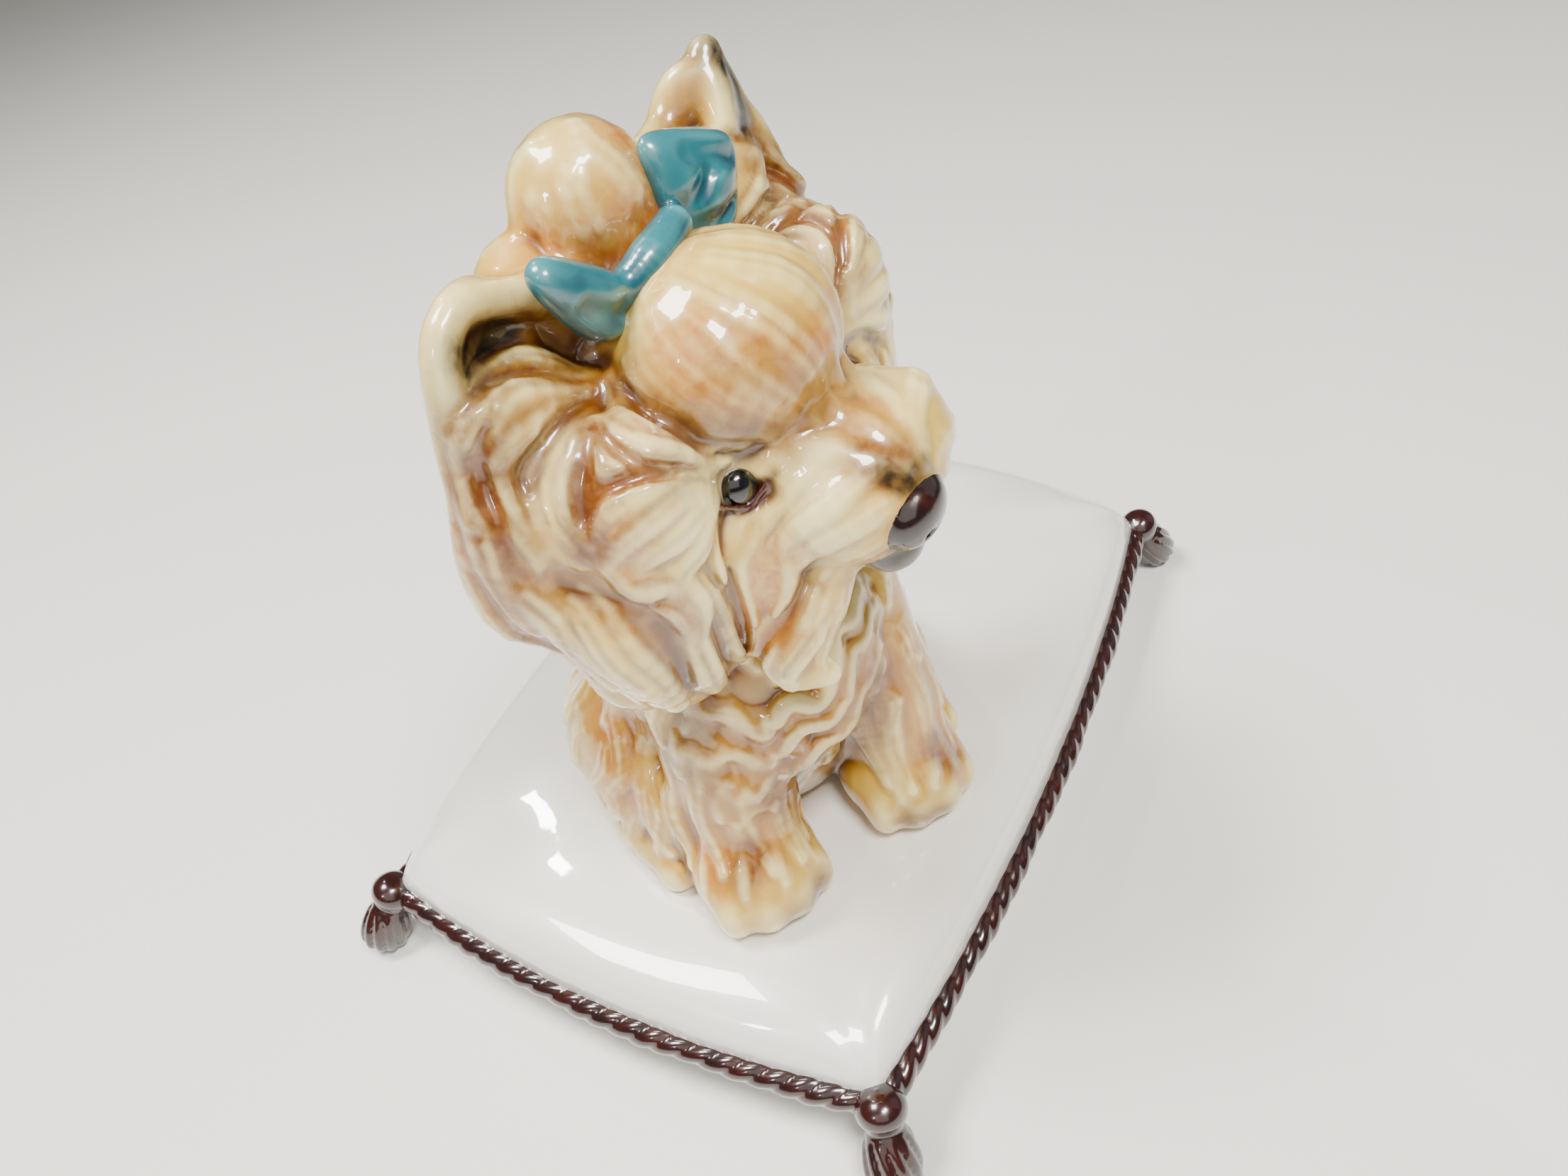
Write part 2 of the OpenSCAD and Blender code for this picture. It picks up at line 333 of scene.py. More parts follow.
def score(clay, path, width, bottom=-0.2, blend=1.3, count=14):
    """A tapered groove drawn on the masses, whose bottom stands above their surface by the given height."""
    points, normals = clay.drape(smooth_path(path, count))
    radii = lock_radii(width, count, 0.35, 0.3)
    points = points + normals * (bottom + radii + 0.5 * (width / 2 - radii))[:, None]
    clay.cut(*bar_distance(clay, points, normals, radii), blend)


# ---------------------------------------------------------------- the dog's clay

# The nodes that reach furthest on the dog's low and high sides, with room for the hair round them
LOW_NODES = ("torso", "ear_right", "muzzle", "foreleg_left", "foreleg_right")
HIGH_NODES = ("torso", "ear_left", "ear_right", "tail", "haunch_left")
dog_low = np.min([box_mm(node)[0] for node in LOW_NODES], 0)
dog_high = np.max([box_mm(node)[1] for node in HIGH_NODES], 0)
clay = Clay(dog_low - 8, dog_high + [8, 8, 6], VOXEL)

# The topknot sits this far to the left of the skull's middle
CROWN = 3.5
# Middles of the paws, as left, forward, up
FOREPAW = {s: np.array([s * 15.3 - 0.7, 25.4 - 1.2 * s, 30]) for s in (LEFT, RIGHT)}
HIND_PAW = {s: np.array([s * 24.5, 9, 28]) for s in (LEFT, RIGHT)}
# Masses in the dog's frames, as (frame, middle, radii)
SKULL = Ball(HEAD, [0, -3, 0], [24, 22, 22])
DOME = Ball(HEAD, [1, 8, 16], [15, 14, 13])
MUZZLE = Ball(HEAD, [0, 23, -1], [12, 12, 10])
TORSO = Ball(BODY, [0, 1, 54], [25, 24, 37])
RUMP = Ball(BODY, [0, -6, 40], [26, 22, 22])
CHEST = Ball(BODY, [-1, 19, 62], [17, 12, 19])
CHEEK = {s: Ball(HEAD, [s * 22.5, 2, -6.5], [11.5, 13.5, 22]) for s in (LEFT, RIGHT)}
HAUNCH = {s: Ball(BODY, [s * 22.5, -3, 36.5], [11, 18.5, 16.5]) for s in (LEFT, RIGHT)}
TOPKNOT = Ball(HEAD, [CROWN - 0.4, -9, 33.5], [8.9, 8.6, 9.0])


def sculpt_ears():
    """The right ear is a shallow cup with a thick rim. The left one stands edge on, folded to a point."""
    Ball(HEAD, [-21, -8, 24], [11, 4.5, 12.5], yaw=-22).put(clay, "ear_right", 2)
    Ball(HEAD, [-22.5, -3.4, 30], [7.5, 2.8, 5.5], yaw=-22).carve(clay, 2.5)
    rim = [[-6, -5, 26], [-11, -6, 29.5], [-17, -7, 32.6], [-22, -7, 34.6], [-26.3, -7, 32.8],
           [-28.8, -7, 28.5], [-31, -7, 23], [-33, -6.5, 17], [-35.5, -6, 9], [-35.5, -5, 1]]
    tube(clay, "ear_right", HEAD, rim, [2.4, 2.3, 2.1, 1.8, 1.7, 1.9, 2.6], 1.6, 24)
    Ball(HEAD, [28, -9.3, 28], [6.5, 4, 9.5], yaw=45).put(clay, "ear_left", 2)
    folds = [
        ([[31.5, -8, 37.3], [28.5, -5.5, 33], [25.5, -4, 28], [22, -3, 23]], [1.3, 1.8, 2.4, 3]),
        ([[31.5, -8.5, 37], [27, -10.5, 32.5], [21, -11, 30], [14, -10, 28]], [1.3, 2.2, 3, 4]),
        ([[32, -8, 37], [33.2, -7.5, 33], [33.8, -7, 29], [35, -6, 24], [35, -5, 17]],
         [1.3, 1.6, 1.8, 2.2, 3]),
    ]
    for path, radii in folds:
        tube(clay, "ear_left", HEAD, path, radii, 2.2)


def sculpt_masses():
    """The plain masses under the hair."""
    sculpt_ears()
    TORSO.put(clay, "torso")
    RUMP.put(clay, "torso", 6)
    CHEST.put(clay, "chest_ruff", 4)
    SKULL.put(clay, "head", 3)
    Ball(HEAD, [-7, -12, 24.5], [9, 8, 9]).put(clay, "head", 3)
    MUZZLE.put(clay, "muzzle", 4)
    Ball(HEAD, [0, 16, 5], [9, 9, 6]).put(clay, "muzzle", 4)
    Ball(HEAD, [7, 25, 1], [8, 8.5, 8]).put(clay, "muzzle", 3)
    DOME.put(clay, "forelock", 1.5)
    for side in (LEFT, RIGHT):
        name = SIDE_NAME[side]
        cheek, foreleg = "cheek_hair_" + name, "foreleg_" + name
        HAUNCH[side].put(clay, "haunch_" + name, 4)
        Ball(BODY, HIND_PAW[side], [7.5, 12, 6.5]).put(clay, "hind_paw_" + name, 2)
        shank = mirrored([[13, 14, 66], [14, 20, 50], [14.5, 23, 36]], side)
        tube(clay, foreleg, BODY, shank, [10, 8.5], 3)
        Ball(BODY, FOREPAW[side], [10.8, 11.3, 9]).put(clay, foreleg, 2)
        CHEEK[side].put(clay, cheek, 2.5)
        Ball(HEAD, [side * 22 + 1.5, 6, 8], [9, 10, 12]).put(clay, cheek, 3)
        Ball(HEAD, [side * 31, -4, 5], [6, 8, 13]).put(clay, cheek, 3)
        Ball(HEAD, [side * 22.5, 8, 9], [5.5, 5.5, 7]).put(clay, cheek, 3)
        Ball(HEAD, [side * 20.5, -4.5, 19], [9.5, 4.2, 5.5], roll=side * 25).put(clay, cheek, 4)
        Ball(HEAD, [side * 14, 15, -9], [5, 5.5, 9.5]).put(clay, "muzzle", 3)
        Ball(BODY, [side * 20, 14, 36], [8, 9, 12]).put(clay, foreleg, 3)
    spine = [[0, -24, 31], [2, -31, 35], [4, -33, 43], [4, -31, 51]]
    tube(clay, "tail", BODY, spine, [6, 6.5, 5.5, 3.5], 2.5)
    tube(clay, "topknot", HEAD, [[CROWN, -4, 22], [CROWN, -6, 27]], [7, 6.5], 2)
    TOPKNOT.put(clay, "topknot", 1.5)
    chin = [[-4, 20, -9], [-11, 19.5, -13], [-15.5, 18.5, -18], [-16.5, 19.5, -23]]
    tube(clay, "beard", HEAD, chin, [5.5, 5.5, 4.6, 3], 2)


sculpt_masses()


# ---------------------------------------------------------------- airbrushed colour and painted shade

# Strokes of each colour, as (radius, strength, path, relief)
SPRAYS = {color: [] for color in ("lid", "pale", "olive_shade", "peach", "brown", "black", "strand", "gleam")}
# Hair stands about this far off the plain masses that the airbrushed strokes lie on
RELIEF = 1.1


def spray(name, space, radius, strength, path, relief=RELIEF):
    """Adds a stroke of colour along a path: airbrushed colour, and painted shade for the greenish-tan
    strokes.
    """
    SPRAYS[name].append((radius, strength, space.out(path), relief))


def sprayed(points, strokes):
    """Strength of a colour at each point, fading with the distance from its strokes."""
    total = np.zeros(len(points))
    for radius, strength, path, relief in strokes:
        fine = smooth_path(path, 4 * len(path)) if len(path) > 1 else path
        limit = 3 * radius + relief
        near = np.all((points > path.min(0) - limit) & (points < path.max(0) + limit), axis=1)
        reach = np.full(near.sum(), np.inf)
        for centre in fine:
            np.minimum(reach, np.linalg.norm(points[near] - centre, axis=1), out=reach)
        reach = np.maximum(reach - relief, 0)
        total[near] = np.maximum(total[near], strength * np.exp(-(reach / radius) ** 2))
    return total


# ---------------------------------------------------------------- combed hair

def paint_strands(points, normals, radii, flat, strength):
    """Fine painted hairs along the crest of a lock, dark and pale in turn."""
    side = np.cross(np.gradient(points, axis=0), normals)
    side /= np.linalg.norm(side, axis=1, keepdims=True)
    count = max(int(1.8 * radii.max()), 3)
    for k, across in enumerate(np.linspace(-0.85, 0.85, count)):
        across = np.clip(across + rng.normal(0, 0.1), -0.95, 0.95)
        height = math.sqrt(1 - across ** 2) / flat
        line = points + radii[:, None] * (across * side + height * normals)
        start, end = rng.integers(0, 4), len(line) - rng.integers(0, 4)
        stroke = (rng.uniform(0.25, 0.5), strength * rng.uniform(0.4, 1.0), line[start:end], 0.15)
        SPRAYS[("strand", "gleam")[k % 2]].append(stroke)


def comb(owner, space, locks, side=LEFT, strands=1.0, **options):
    """Lays locks given as (width, path) on one side, with fine hairs of the given strength on them."""
    for width, path in locks:
        laid = lock(clay, owner, space.out(mirrored(path, side)), width, **options)
        paint_strands(*laid, strands)


# Locks of hair as (width, path of outward, forward, up), from the parting by the bow outwards
EAR_LOCKS = [
    (6, [[13, -2, 20], [16, -4, 22], [20, -5, 24.5], [24, -6, 26.5], [27, -6, 28]]),
    (7, [[13, -1, 19], [17, -3, 20], [22, -4, 22.5], [27, -4, 24.5], [30, -4, 23], [31.5, -4, 19]]),
    (7, [[14, 0, 18], [18, -1, 19], [23, -2, 21], [28, -2, 22], [31, -2, 19], [32, -2, 14]]),
]
CHEEK_LOCKS = [
    (6, [[18, -1, 18], [24, -4, 19.5], [30, -3, 20], [32, -2, 17], [32, -1, 13], [32, 0, 7]]),
    (6.5, [[18, 1, 19], [23, -1, 18.5], [27, -1, 17], [29, -1, 13], [30.5, 2, 11], [31, 6, 8]]),
    (7, [[19, 2, 19.5], [24, 3, 18.5], [27, 3, 16], [29, 4.5, 13], [30, 7, 10], [29.5, 10, 6]]),
    (6, [[30, -3, 26], [32, -3, 24], [33, -3, 20], [34, -3, 14], [35, -3, 7], [35, -3, -2]]),
    (7, [[35, -6, 13], [36, -6, 6], [36, -6, -3], [34, -6, -12], [31, -4, -22]]),
    (4.5, [[19, 4, 20], [21, 9, 19], [20, 12, 16.5], [16, 14, 12], [12, 15, 9.5]]),
    (4.5, [[20, 5, 20], [24, 9, 18.5], [23.5, 12, 16.5], [20, 14, 13.5], [15, 15, 9]]),
    (5, [[16, 15, 9], [21, 14, 14], [24, 12.5, 15], [27, 10, 14], [29, 8, 11]]),
    (5, [[16, 15.5, 8], [21, 15, 12.5], [25, 13.5, 12.5], [28, 11, 10.5], [29.5, 9, 8]]),
    (4.5, [[16, 15.5, 7], [20, 16, 9], [24, 15, 9], [27, 13, 8], [29, 11.5, 5]]),
    (4.5, [[16, 15.5, 6], [19, 16, 6.5], [22, 15.5, 5.5], [25, 14, 3.5], [27, 13.5, 0]]),
    (5, [[19, 16, 3], [21, 15.5, 1], [22, 15, -4], [22, 14.5, -10]]),
    (4, [[30, 9, 8], [29.5, 11, 4], [27, 13.5, 3], [25.5, 14.5, -3]]),
    (3.6, [[26, 13.5, 6], [25, 14.5, 1], [25, 15, -4], [26.5, 14, -8]]),
    (3.6, [[31, 9, 3], [30, 11.5, 0.5], [28, 13, -1.5], [27, 14, -6]]),
    (6, [[33, -2, 10], [34, -1, 6], [34, 1, 1], [34, 1, -7], [33, 2, -15]]),
    (6, [[27, 14, -4], [27, 14, -10], [26, 13, -17], [24, 12, -23]]),
    (5, [[22, 15, -5], [21, 14, -12], [19, 12, -20], [17, 12, -27]]),
    (7, [[34, -2, -12], [33, -1, -20], [29, 2, -27]]),
]
FAT_LOCKS = [
    (12, [[33, 2, 5], [34, 5, 1], [34, 7, -5], [33, 9, -11], [31, 10, -18]]),
]
BROW_LOCKS = [
    (4.5, [[12, 1, 19], [15, 4, 19], [18, 9, 18.5], [16, 13, 15], [10, 16, 11]]),
    (3.5, [[12, 4, 22], [14, 8, 19.5], [15, 12, 16], [11, 16, 12]]),
]
MOUSTACHE_LOCKS = [
    (4.4, [[2, 32, 4], [6, 29, 5], [10, 26, 3], [13, 21, -1], [14, 18, -7]]),
    (4.4, [[3, 33, 2], [7, 30, 1], [11, 26, -1], [14, 21, -6], [15, 18, -12]]),
    (5, [[4, 33, -1], [8, 29, -4], [11, 25, -8], [14, 21, -14], [15, 19, -20]]),
    (5, [[4, 31, -6], [8, 28, -9], [11, 24, -14], [12, 21, -21]]),
    (5, [[5, 25, 9], [9, 22, 6], [13, 18, 2], [16, 15, -4], [17, 16, -11]]),
    (4.4, [[6, 19, 9], [11, 17, 4], [15, 15, 1], [18, 15, -6], [19, 15, -15]]),
    (4.4, [[10, 15, 2], [14, 14, -2], [18, 14, -9], [19, 14, -18]]),
]
BRIDGE_LOCKS = [
    (3.4, [[0, 33, 3], [0, 28, 8], [0, 21, 10]]),
    (3, [[2, 32, 4], [5, 27, 8], [6, 20, 9]]),
    (3, [[-2, 32, 4], [-5, 27, 8], [-6, 20, 9]]),
]
BEARD_LOCKS = [
    (5, [[-15, 19, -12], [-18, 18, -16], [-20, 17, -20], [-20, 19, -23]]),
    (4.5, [[-11, 23, -12], [-15, 22, -15], [-18, 20, -19], [-19, 20, -23]]),
    (4.5, [[-7, 25, -12], [-12, 24, -16], [-15, 22, -20], [-16, 21, -24]]),
    (4.5, [[-2, 24, -12], [-6, 22, -17], [-11, 19, -22]]),
]
DOME_LOCKS = [
    (5, [[-9, 5, 26], [-12, 7, 22], [-13, 11, 19], [-12, 15, 15], [-7, 18, 11]]),
    (6, [[-7, 5, 27], [-11, 10, 24], [-11, 14, 20], [-9.5, 18, 15.5], [-4, 20, 10]]),
    (6.5, [[-5, 5, 28], [-8, 13, 25], [-8, 17, 21], [-6, 20, 16], [-2.5, 22, 10]]),
    (7, [[-3, 5, 29], [-4, 14, 27], [-3, 19, 23], [-1, 22, 16], [-0.5, 23, 10]]),
    (7, [[-1, 4, 29.5], [1, 13, 28], [4, 18, 25], [4.5, 21, 19], [3, 22.5, 10]]),
    (7, [[1, 4, 29.5], [7, 12, 27], [11, 16, 21], [11, 19, 15], [8, 20.5, 9]]),
    (6, [[4, 3, 29], [12, 8, 26], [15, 12, 20], [15, 15, 14], [13, 18, 9]]),
]
TEMPLE_LOCKS = [
    (4, [[12, -3, 24], [18, 2, 21], [22, 9, 18], [21, 13, 13], [19, 15, 9]]),
    (3.5, [[16, -3, 22], [22, 3, 20], [25, 9, 18], [24, 13, 14], [22, 15, 9]]),
    (5, [[20, -4, 19], [26, 2, 18], [28, 9, 15], [27, 13, 8], [24, 15, 2]]),
]


def comb_head():
    """Hair of the ears, cheeks, muzzle, beard and forelock, laid one over the other."""
    for side in (LEFT, RIGHT):
        ear, cheek = "ear_" + SIDE_NAME[side], "cheek_hair_" + SIDE_NAME[side]
        comb(ear, HEAD, EAR_LOCKS, side, rise=(0.4, 1.9, 0.1), depth=0.1, blend=0.9, tip=0.2)
        comb(cheek, HEAD, CHEEK_LOCKS, side, rise=(0.3, 2.0, 0.6), depth=0.1, blend=1.1, tip=0.25)
        comb(cheek, HEAD, FAT_LOCKS, side, rise=(0.2, 2.6, 2.0), ridges=3, depth=0.05, blend=0.8)
        comb("forelock", HEAD, BROW_LOCKS, side, 0.5, rise=(0.3, 1.3, 0.7), ridges=1, depth=0, blend=1.0)
        comb("muzzle", HEAD, MOUSTACHE_LOCKS, side, 0.5, rise=(0.1, 1.0, 1.3), depth=0.12, blend=1.1)
    comb("muzzle", HEAD, BRIDGE_LOCKS, strands=0.3, rise=(0.2, 0.6, 0.3), ridges=1, depth=0, blend=1.5)
    comb("beard", HEAD, BEARD_LOCKS, rise=(0.3, 1.4, 1.4), blend=0.9)
    comb("forelock", HEAD, DOME_LOCKS, strands=0.5, rise=(0.3, 1.0, 0.7), depth=0.06, blend=1.4)
    comb("forelock", HEAD, TEMPLE_LOCKS, rise=(0.4, 1.3, 0.8), depth=0.1, blend=1.0)


# Grooves of one side of the head, as (width, height of the bottom, colour pooled there as glaze and painted
# shade, its strength, how far the colour reaches in widths, path)
GROOVES = [
    (1.8, 0.4, "olive_shade", 0.9, 1.0, [[14, 1, 18], [19, 0, 19], [24, -1, 20], [28, -1, 19], [30, -1, 15]]),
    (1.6, 0.4, "brown", 0.9, 1.0, [[15, -1, 22], [20, -3, 25], [25, -4, 27.5], [29, -5, 27]]),
    (2.2, -0.1, "brown", 0.9, 1.0, [[20, 5, 20], [24.5, 6.5, 18.5], [27, 6.5, 16.5], [29, 7, 13.5]]),
    (2.2, 0.3, "brown", 1.0, 1.6, [[28, -4, 24], [31, -3, 22], [33, -2, 19], [33, -1.5, 14], [34, -1, 8]]),
    (1.2, 0.4, "brown", 0.7, 1.0, [[20, 5, 20.3], [22.5, 9, 19], [22, 12, 16.5], [18, 14, 13]]),
    (1.8, 0.2, "brown", 0.8, 1.2, [[21, 14, 15], [23, 12, 16], [26, 9, 16], [28, 8, 14]]),
    (1.8, 0.2, "brown", 0.7, 1.0, [[36, -5, 9], [36, -4, 0], [35, -3, -8]]),
    (1.8, 0.2, "brown", 0.8, 1.0, [[12, 2, 18], [14, 5, 19], [16, 9, 18], [14, 13, 14], [9, 17, 11]]),
    (1.4, 0.3, "olive_shade", 0.7, 1.0, [[16, 15, 5], [20, 15.5, 5], [22, 15, 1], [21, 15, -6]]),
    (2.6, 0.0, "brown", 0.7, 1.0, [[31, 9, 3], [29.5, 12, -1], [29.5, 13, -7], [29, 12, -15]]),
    (2.0, 0.0, "brown", 0.7, 1.0, [[33, 2, 8], [33, 5, 5], [31, 9, 3]]),
    (1.8, 0.0, "brown", 0.6, 1.0, [[24, 15, -6], [24, 14, -13], [22, 12, -21]]),
    (1.8, 0.0, "brown", 0.6, 1.0, [[13, 22, -9], [16, 19, -14], [18, 17, -20]]),
    (1.8, 0.0, "olive_shade", 0.8, 1.0, [[19, 15, -2], [20, 14, -10], [20, 13, -18]]),
]


def groove_head():
    """Deep partings between the locks, with colour pooled in them as glaze and as painted shade."""
    for side in (LEFT, RIGHT):
        for width, bottom, color, strength, reach, path in GROOVES:
            path = mirrored(path, side)
            score(clay, HEAD.out(path), width, bottom)
            spray(color, HEAD, reach * width, strength, path)


# Fringes of the chest ruff, round the beard from the dog's right to its left, as paths of left, forward, up
FRINGES = [
    [[-19, 24, 68], [-13, 28, 64], [-8, 30, 63], [-3, 31, 65], [3, 31, 69], [9, 29, 74], [14, 25, 78]],
    [[-21, 23, 60], [-16, 27, 57], [-10, 29, 56.5], [-4, 31, 58.5], [2, 31, 62], [8, 30, 67], [13, 27, 72]],
    [[-18, 26, 52], [-12, 29, 50], [-6, 30, 50.5], [0, 30, 53], [5, 29, 57], [10, 27, 63]],
]


def fringe_chest():
    """Wavy ridges round the beard, one above the other, each with curls that hang below it and painted
    shade under it.
    """
    down, across = -BODY.axes[2], BODY.axes[0]
    for row, path in enumerate(FRINGES[::-1]):
        line = smooth_path(BODY.out(path), 15)
        for k, root in enumerate(line):
            bend = 1.5 * math.sin(2.3 * k + row) + rng.normal(0, 0.3)
            drop = rng.uniform(4.5, 6.5)
            curl = [root - down, root + across * bend * 0.6, root + down * 0.55 * drop + across * bend,
                    root + down * drop - across * bend * 0.5]
            lock(clay, "chest_ruff", np.array(curl), rng.uniform(3.6, 5.0), (0.4, 1.1, 0.9), ridges=1,
                 blend=1.2, count=9, tip=0.5)
        long_wave, short_wave = np.linspace(0, 19, 40), np.linspace(0, 43, 40)
        fall = 1.3 * np.sin(long_wave + 1.7 * row) + 0.8 * np.sin(short_wave + 2.3 * row)
        swing = 1.1 * np.cos(long_wave + row)
        wave = smooth_path(BODY.out(path), 40) + down * fall[:, None] + across * swing[:, None]
        lock(clay, "chest_ruff", wave, 3.2, (1.2, 2.6, 1.2), ridges=1, depth=0.0, blend=1.3, count=60,
             root=0.8, tip=0.6)
        # Greenish-tan painted shade under each row of fringe
        spray("olive_shade", BODY, 2.2, 0.9, [[a, b, c - 3.5] for a, b, c in path])


# Locks of one leg and its paw, as (width, path of outward, forward, up)
LEG_LOCKS = [
    (5, [[5, 27, 62], [6, 28, 52], [7, 28, 44], [8, 31, 36]]),
    (5, [[10, 28, 60], [11, 29, 50], [11, 30, 42], [11, 34, 35]]),
    (5.5, [[15, 27, 62], [17, 29, 53], [17, 29, 45], [16, 34, 36]]),
    (5, [[19, 24, 62], [22, 26, 52], [23, 26, 44], [22, 30, 36]]),
    (5.5, [[22, 18, 62], [25, 19, 52], [25, 20, 42], [24, 24, 33]]),
    (5.5, [[24, 12, 60], [26, 12, 50], [26, 14, 40], [25, 17, 32]]),
]
PAW_LOCKS = [
    (4, [[10, 29, 42], [9, 32, 38], [8, 35, 34]]),
    (4.4, [[14, 30, 42], [14.5, 33, 38], [15, 36.5, 35]]),
    (4, [[18, 29, 43], [20, 32, 38], [21, 34, 34]]),
    (4, [[23, 25, 42], [25, 27, 37], [25, 29, 32]]),
]
# Toes of a forepaw, as (left and forward of the paw's middle, radius across)
TOES = [(-7.2, 5.8, 3.1), (-2.5, 7.8, 3.5), (2.5, 7.8, 3.5), (7.2, 5.8, 3.1)]


def comb_legs():
    """Hair and toes of the forelegs, and the toes of the hind paws."""
    for side in (LEFT, RIGHT):
        foreleg, hind_paw = "foreleg_" + SIDE_NAME[side], "hind_paw_" + SIDE_NAME[side]
        comb(foreleg, BODY, LEG_LOCKS, side, 0.4, rise=(0.1, 1.1, 0.9), depth=0.1, blend=1.2)
        comb(foreleg, BODY, PAW_LOCKS, side, 0.3, rise=(0.2, 1.0, 0.4), ridges=1, blend=1.3)
        for across, ahead, size in TOES:
            front_toe = FOREPAW[side] + [across, ahead, -1.5]
            hind_toe = HIND_PAW[side] + [0.5 * across, 9.5, -1]
            Ball(BODY, front_toe, [size, 3.8, 4.6], yaw=across * -3).put(clay, foreleg, 2.0)
            Ball(BODY, hind_toe, [2.3, 3, 3.4]).put(clay, hind_paw, 2.0)


def fur(owner, ball, count, length, width, swirl, keep, rise=(0.1, 1.0, 0.9), blend=0.9):
    """Locks all over the open part of a mass, falling downwards with a swirl to one side."""
    steps = 4
    roots = ball.scatter(count)
    roots = roots[keep(roots) & (np.abs(clay.sample(clay.plain, roots)) < 2.0)]
    bends = rng.normal(0, 0.2, len(roots))
    paths = [roots]
    for step in range(steps):
        places, normals = clay.drape(paths[-1])
        across = np.cross(normals, [0, 0, -1.0])
        turn = swirl + bends + 0.5 * np.sin(1.7 * step + 6 * bends)
        heading = np.cross(across, normals) + turn[:, None] * across
        heading /= np.maximum(np.linalg.norm(heading, axis=1, keepdims=True), 1e-6)
        paths.append(places + length / steps * heading)
    for path in np.stack(paths, 1):
        size = rng.uniform(0.8, 1.2)
        ridges = int(rng.integers(2, 4))
        lock(clay, owner, path, width * size, rise, ridges, depth=0.16, blend=blend, count=9, tip=0.5)


def comb_body():
    """Fur wherever no lock has a path of its own, mostly at the back."""
    def above(height):
        return lambda p: p[:, 2] > height

    back = -BODY.axes[1]
    fur("torso", TORSO, 90, 19, 6, 0.1, above(30))
    fur("torso", RUMP, 40, 14, 6, -0.1, above(29))
    fur("head", SKULL, 80, 18, 5.5, 0.0, lambda p: (p - SKULL.centre) @ back > 2)
    for side in (LEFT, RIGHT):
        haunch, cheek = HAUNCH[side], CHEEK[side]
        fur("haunch_" + SIDE_NAME[side], haunch, 40, 15, 5.5, side * 0.5, above(27))
        fur("cheek_hair_" + SIDE_NAME[side], cheek, 50, 15, 5.5, 0.0,
            lambda p: (p - cheek.centre) @ back > 5)
    fur("chest_ruff", CHEST, 40, 10, 4.2, 0.0, above(44))
    fur("tail", Ball(BODY, [4, -32, 42], [7, 7, 12]), 20, 11, 4.5, 0.3, above(30))
    fur("topknot", TOPKNOT, 22, 15, 5.5, 0.05, above(0), rise=(0.2, 0.5, 0.1), blend=1.4)


def face_details():
    """Nose, lip, nostrils, eye sockets and the knob of the beard."""
    for side in (LEFT, RIGHT):
        Ball(HEAD, [side * 12.7, 18.2, 5.0], [2.7, 3.6, 2.5]).carve(clay, 0.8)
        lid = mirrored([[8.8, 19, 6], [10.8, 17.4, 4.2], [12.8, 16.2, 3.2], [16, 15.2, 5.6]], side)
        tube(clay, "muzzle", HEAD, lid, [0.3, 0.5, 0.5, 0.3], 0.5)
        spray("lid", HEAD, 0.55, 1.0, lid, 0.7)
    Ball(HEAD, [-2.2, 28.5, -9.0], [5.0, 4.6, 3.5], pitch=-15).put(clay, "lower_lip", 1.2)
    Ball(HEAD, [-2.2, 33.0, -2.6], [5.5, 3.7, 4.8], pitch=-20, roll=8).put(clay, "nose", 0.7)
    for across in (-2.3, 2.3):
        Ball(HEAD, [across - 1.6, 36.2, -4.2], [1.0, 1.3, 0.8]).carve(clay, 0.6)
    tube(clay, "beard", HEAD, [[-16.5, 20, -23.5], [-15.2, 23, -24.5]], [2.6, 1.9], 1.5)


clay.freeze()
comb_body()
comb_legs()
fringe_chest()
comb_head()
groove_head()
face_details()


# Strokes of airbrushed colour and painted shade as (colour, radius, strength, path of left, forward, up)
HEAD_STROKES = [
    ("black", 2.6, 1.0, [[-25, -5.5, 31], [-22.5, -7, 30.5], [-18.5, -8, 29]]),
    ("brown", 2.4, 0.9, [[-29, -5, 24], [-25, -6, 29], [-20, -6, 31], [-14, -6, 29], [-9, -5, 25]]),
    ("brown", 2.2, 0.8, [[-30, -4, 23], [-27, -4, 27], [-22, -4, 26], [-18, -3, 24]]),
    ("black", 2.0, 1.0, [[31.8, -7, 36.5], [31.2, -5.5, 33], [30.6, -4.5, 29]]),
    ("brown", 2.0, 0.7, [[32, -5, 29], [31, -4, 24], [30, -3, 20]]),
    ("brown", 2.6, 1.0, [[30.5, -8, 36], [27, -9, 32.5], [22, -9.5, 30]]),
    ("peach", 4.0, 0.8, [[29, -3, 24], [26, 0, 18], [22, 8, 19], [19, 13, 14]]),
    ("peach", 4.0, 0.8, [[-12, 10, 22], [-11, 15, 18], [-6, 20, 14]]),
    ("brown", 2.4, 0.9, [[-14, 9, 18], [-12, 15, 15], [-8, 18, 12.5], [-2, 21, 11]]),
    ("brown", 2.6, 0.6, [[-8, 15, 21], [-5, 19, 17], [0, 21, 14], [5, 21, 12]]),
    ("peach", 4.0, 0.9, [[-9, 12, 25], [-6, 17, 22], [0, 20, 18], [6, 20, 16]]),
    ("pale", 3.5, 0.8, [[-28.8, -7, 28.5], [-31, -6, 23], [-33, -6, 17], [-35.5, -5, 9]]),
    ("peach", 3.6, 1.0, [[0, 26, 8], [-3, 30, 5]]),
    ("brown", 2.2, 0.9, [[-4, 29, 6.5], [-1, 31, 5]]),
    ("black", 1.2, 0.9, [[-4, 31, 4.5], [-3, 33, 3], [0, 33, 2.5]]),
    ("peach", 6.5, 1.0, [[8, -4, 37], [10, -2, 31], [0, -1, 31], [-5, -5, 30]]),
    ("brown", 2.0, 0.7, [[-4, -2, 27], [1, -1, 27.5], [7, -2, 29]]),
]
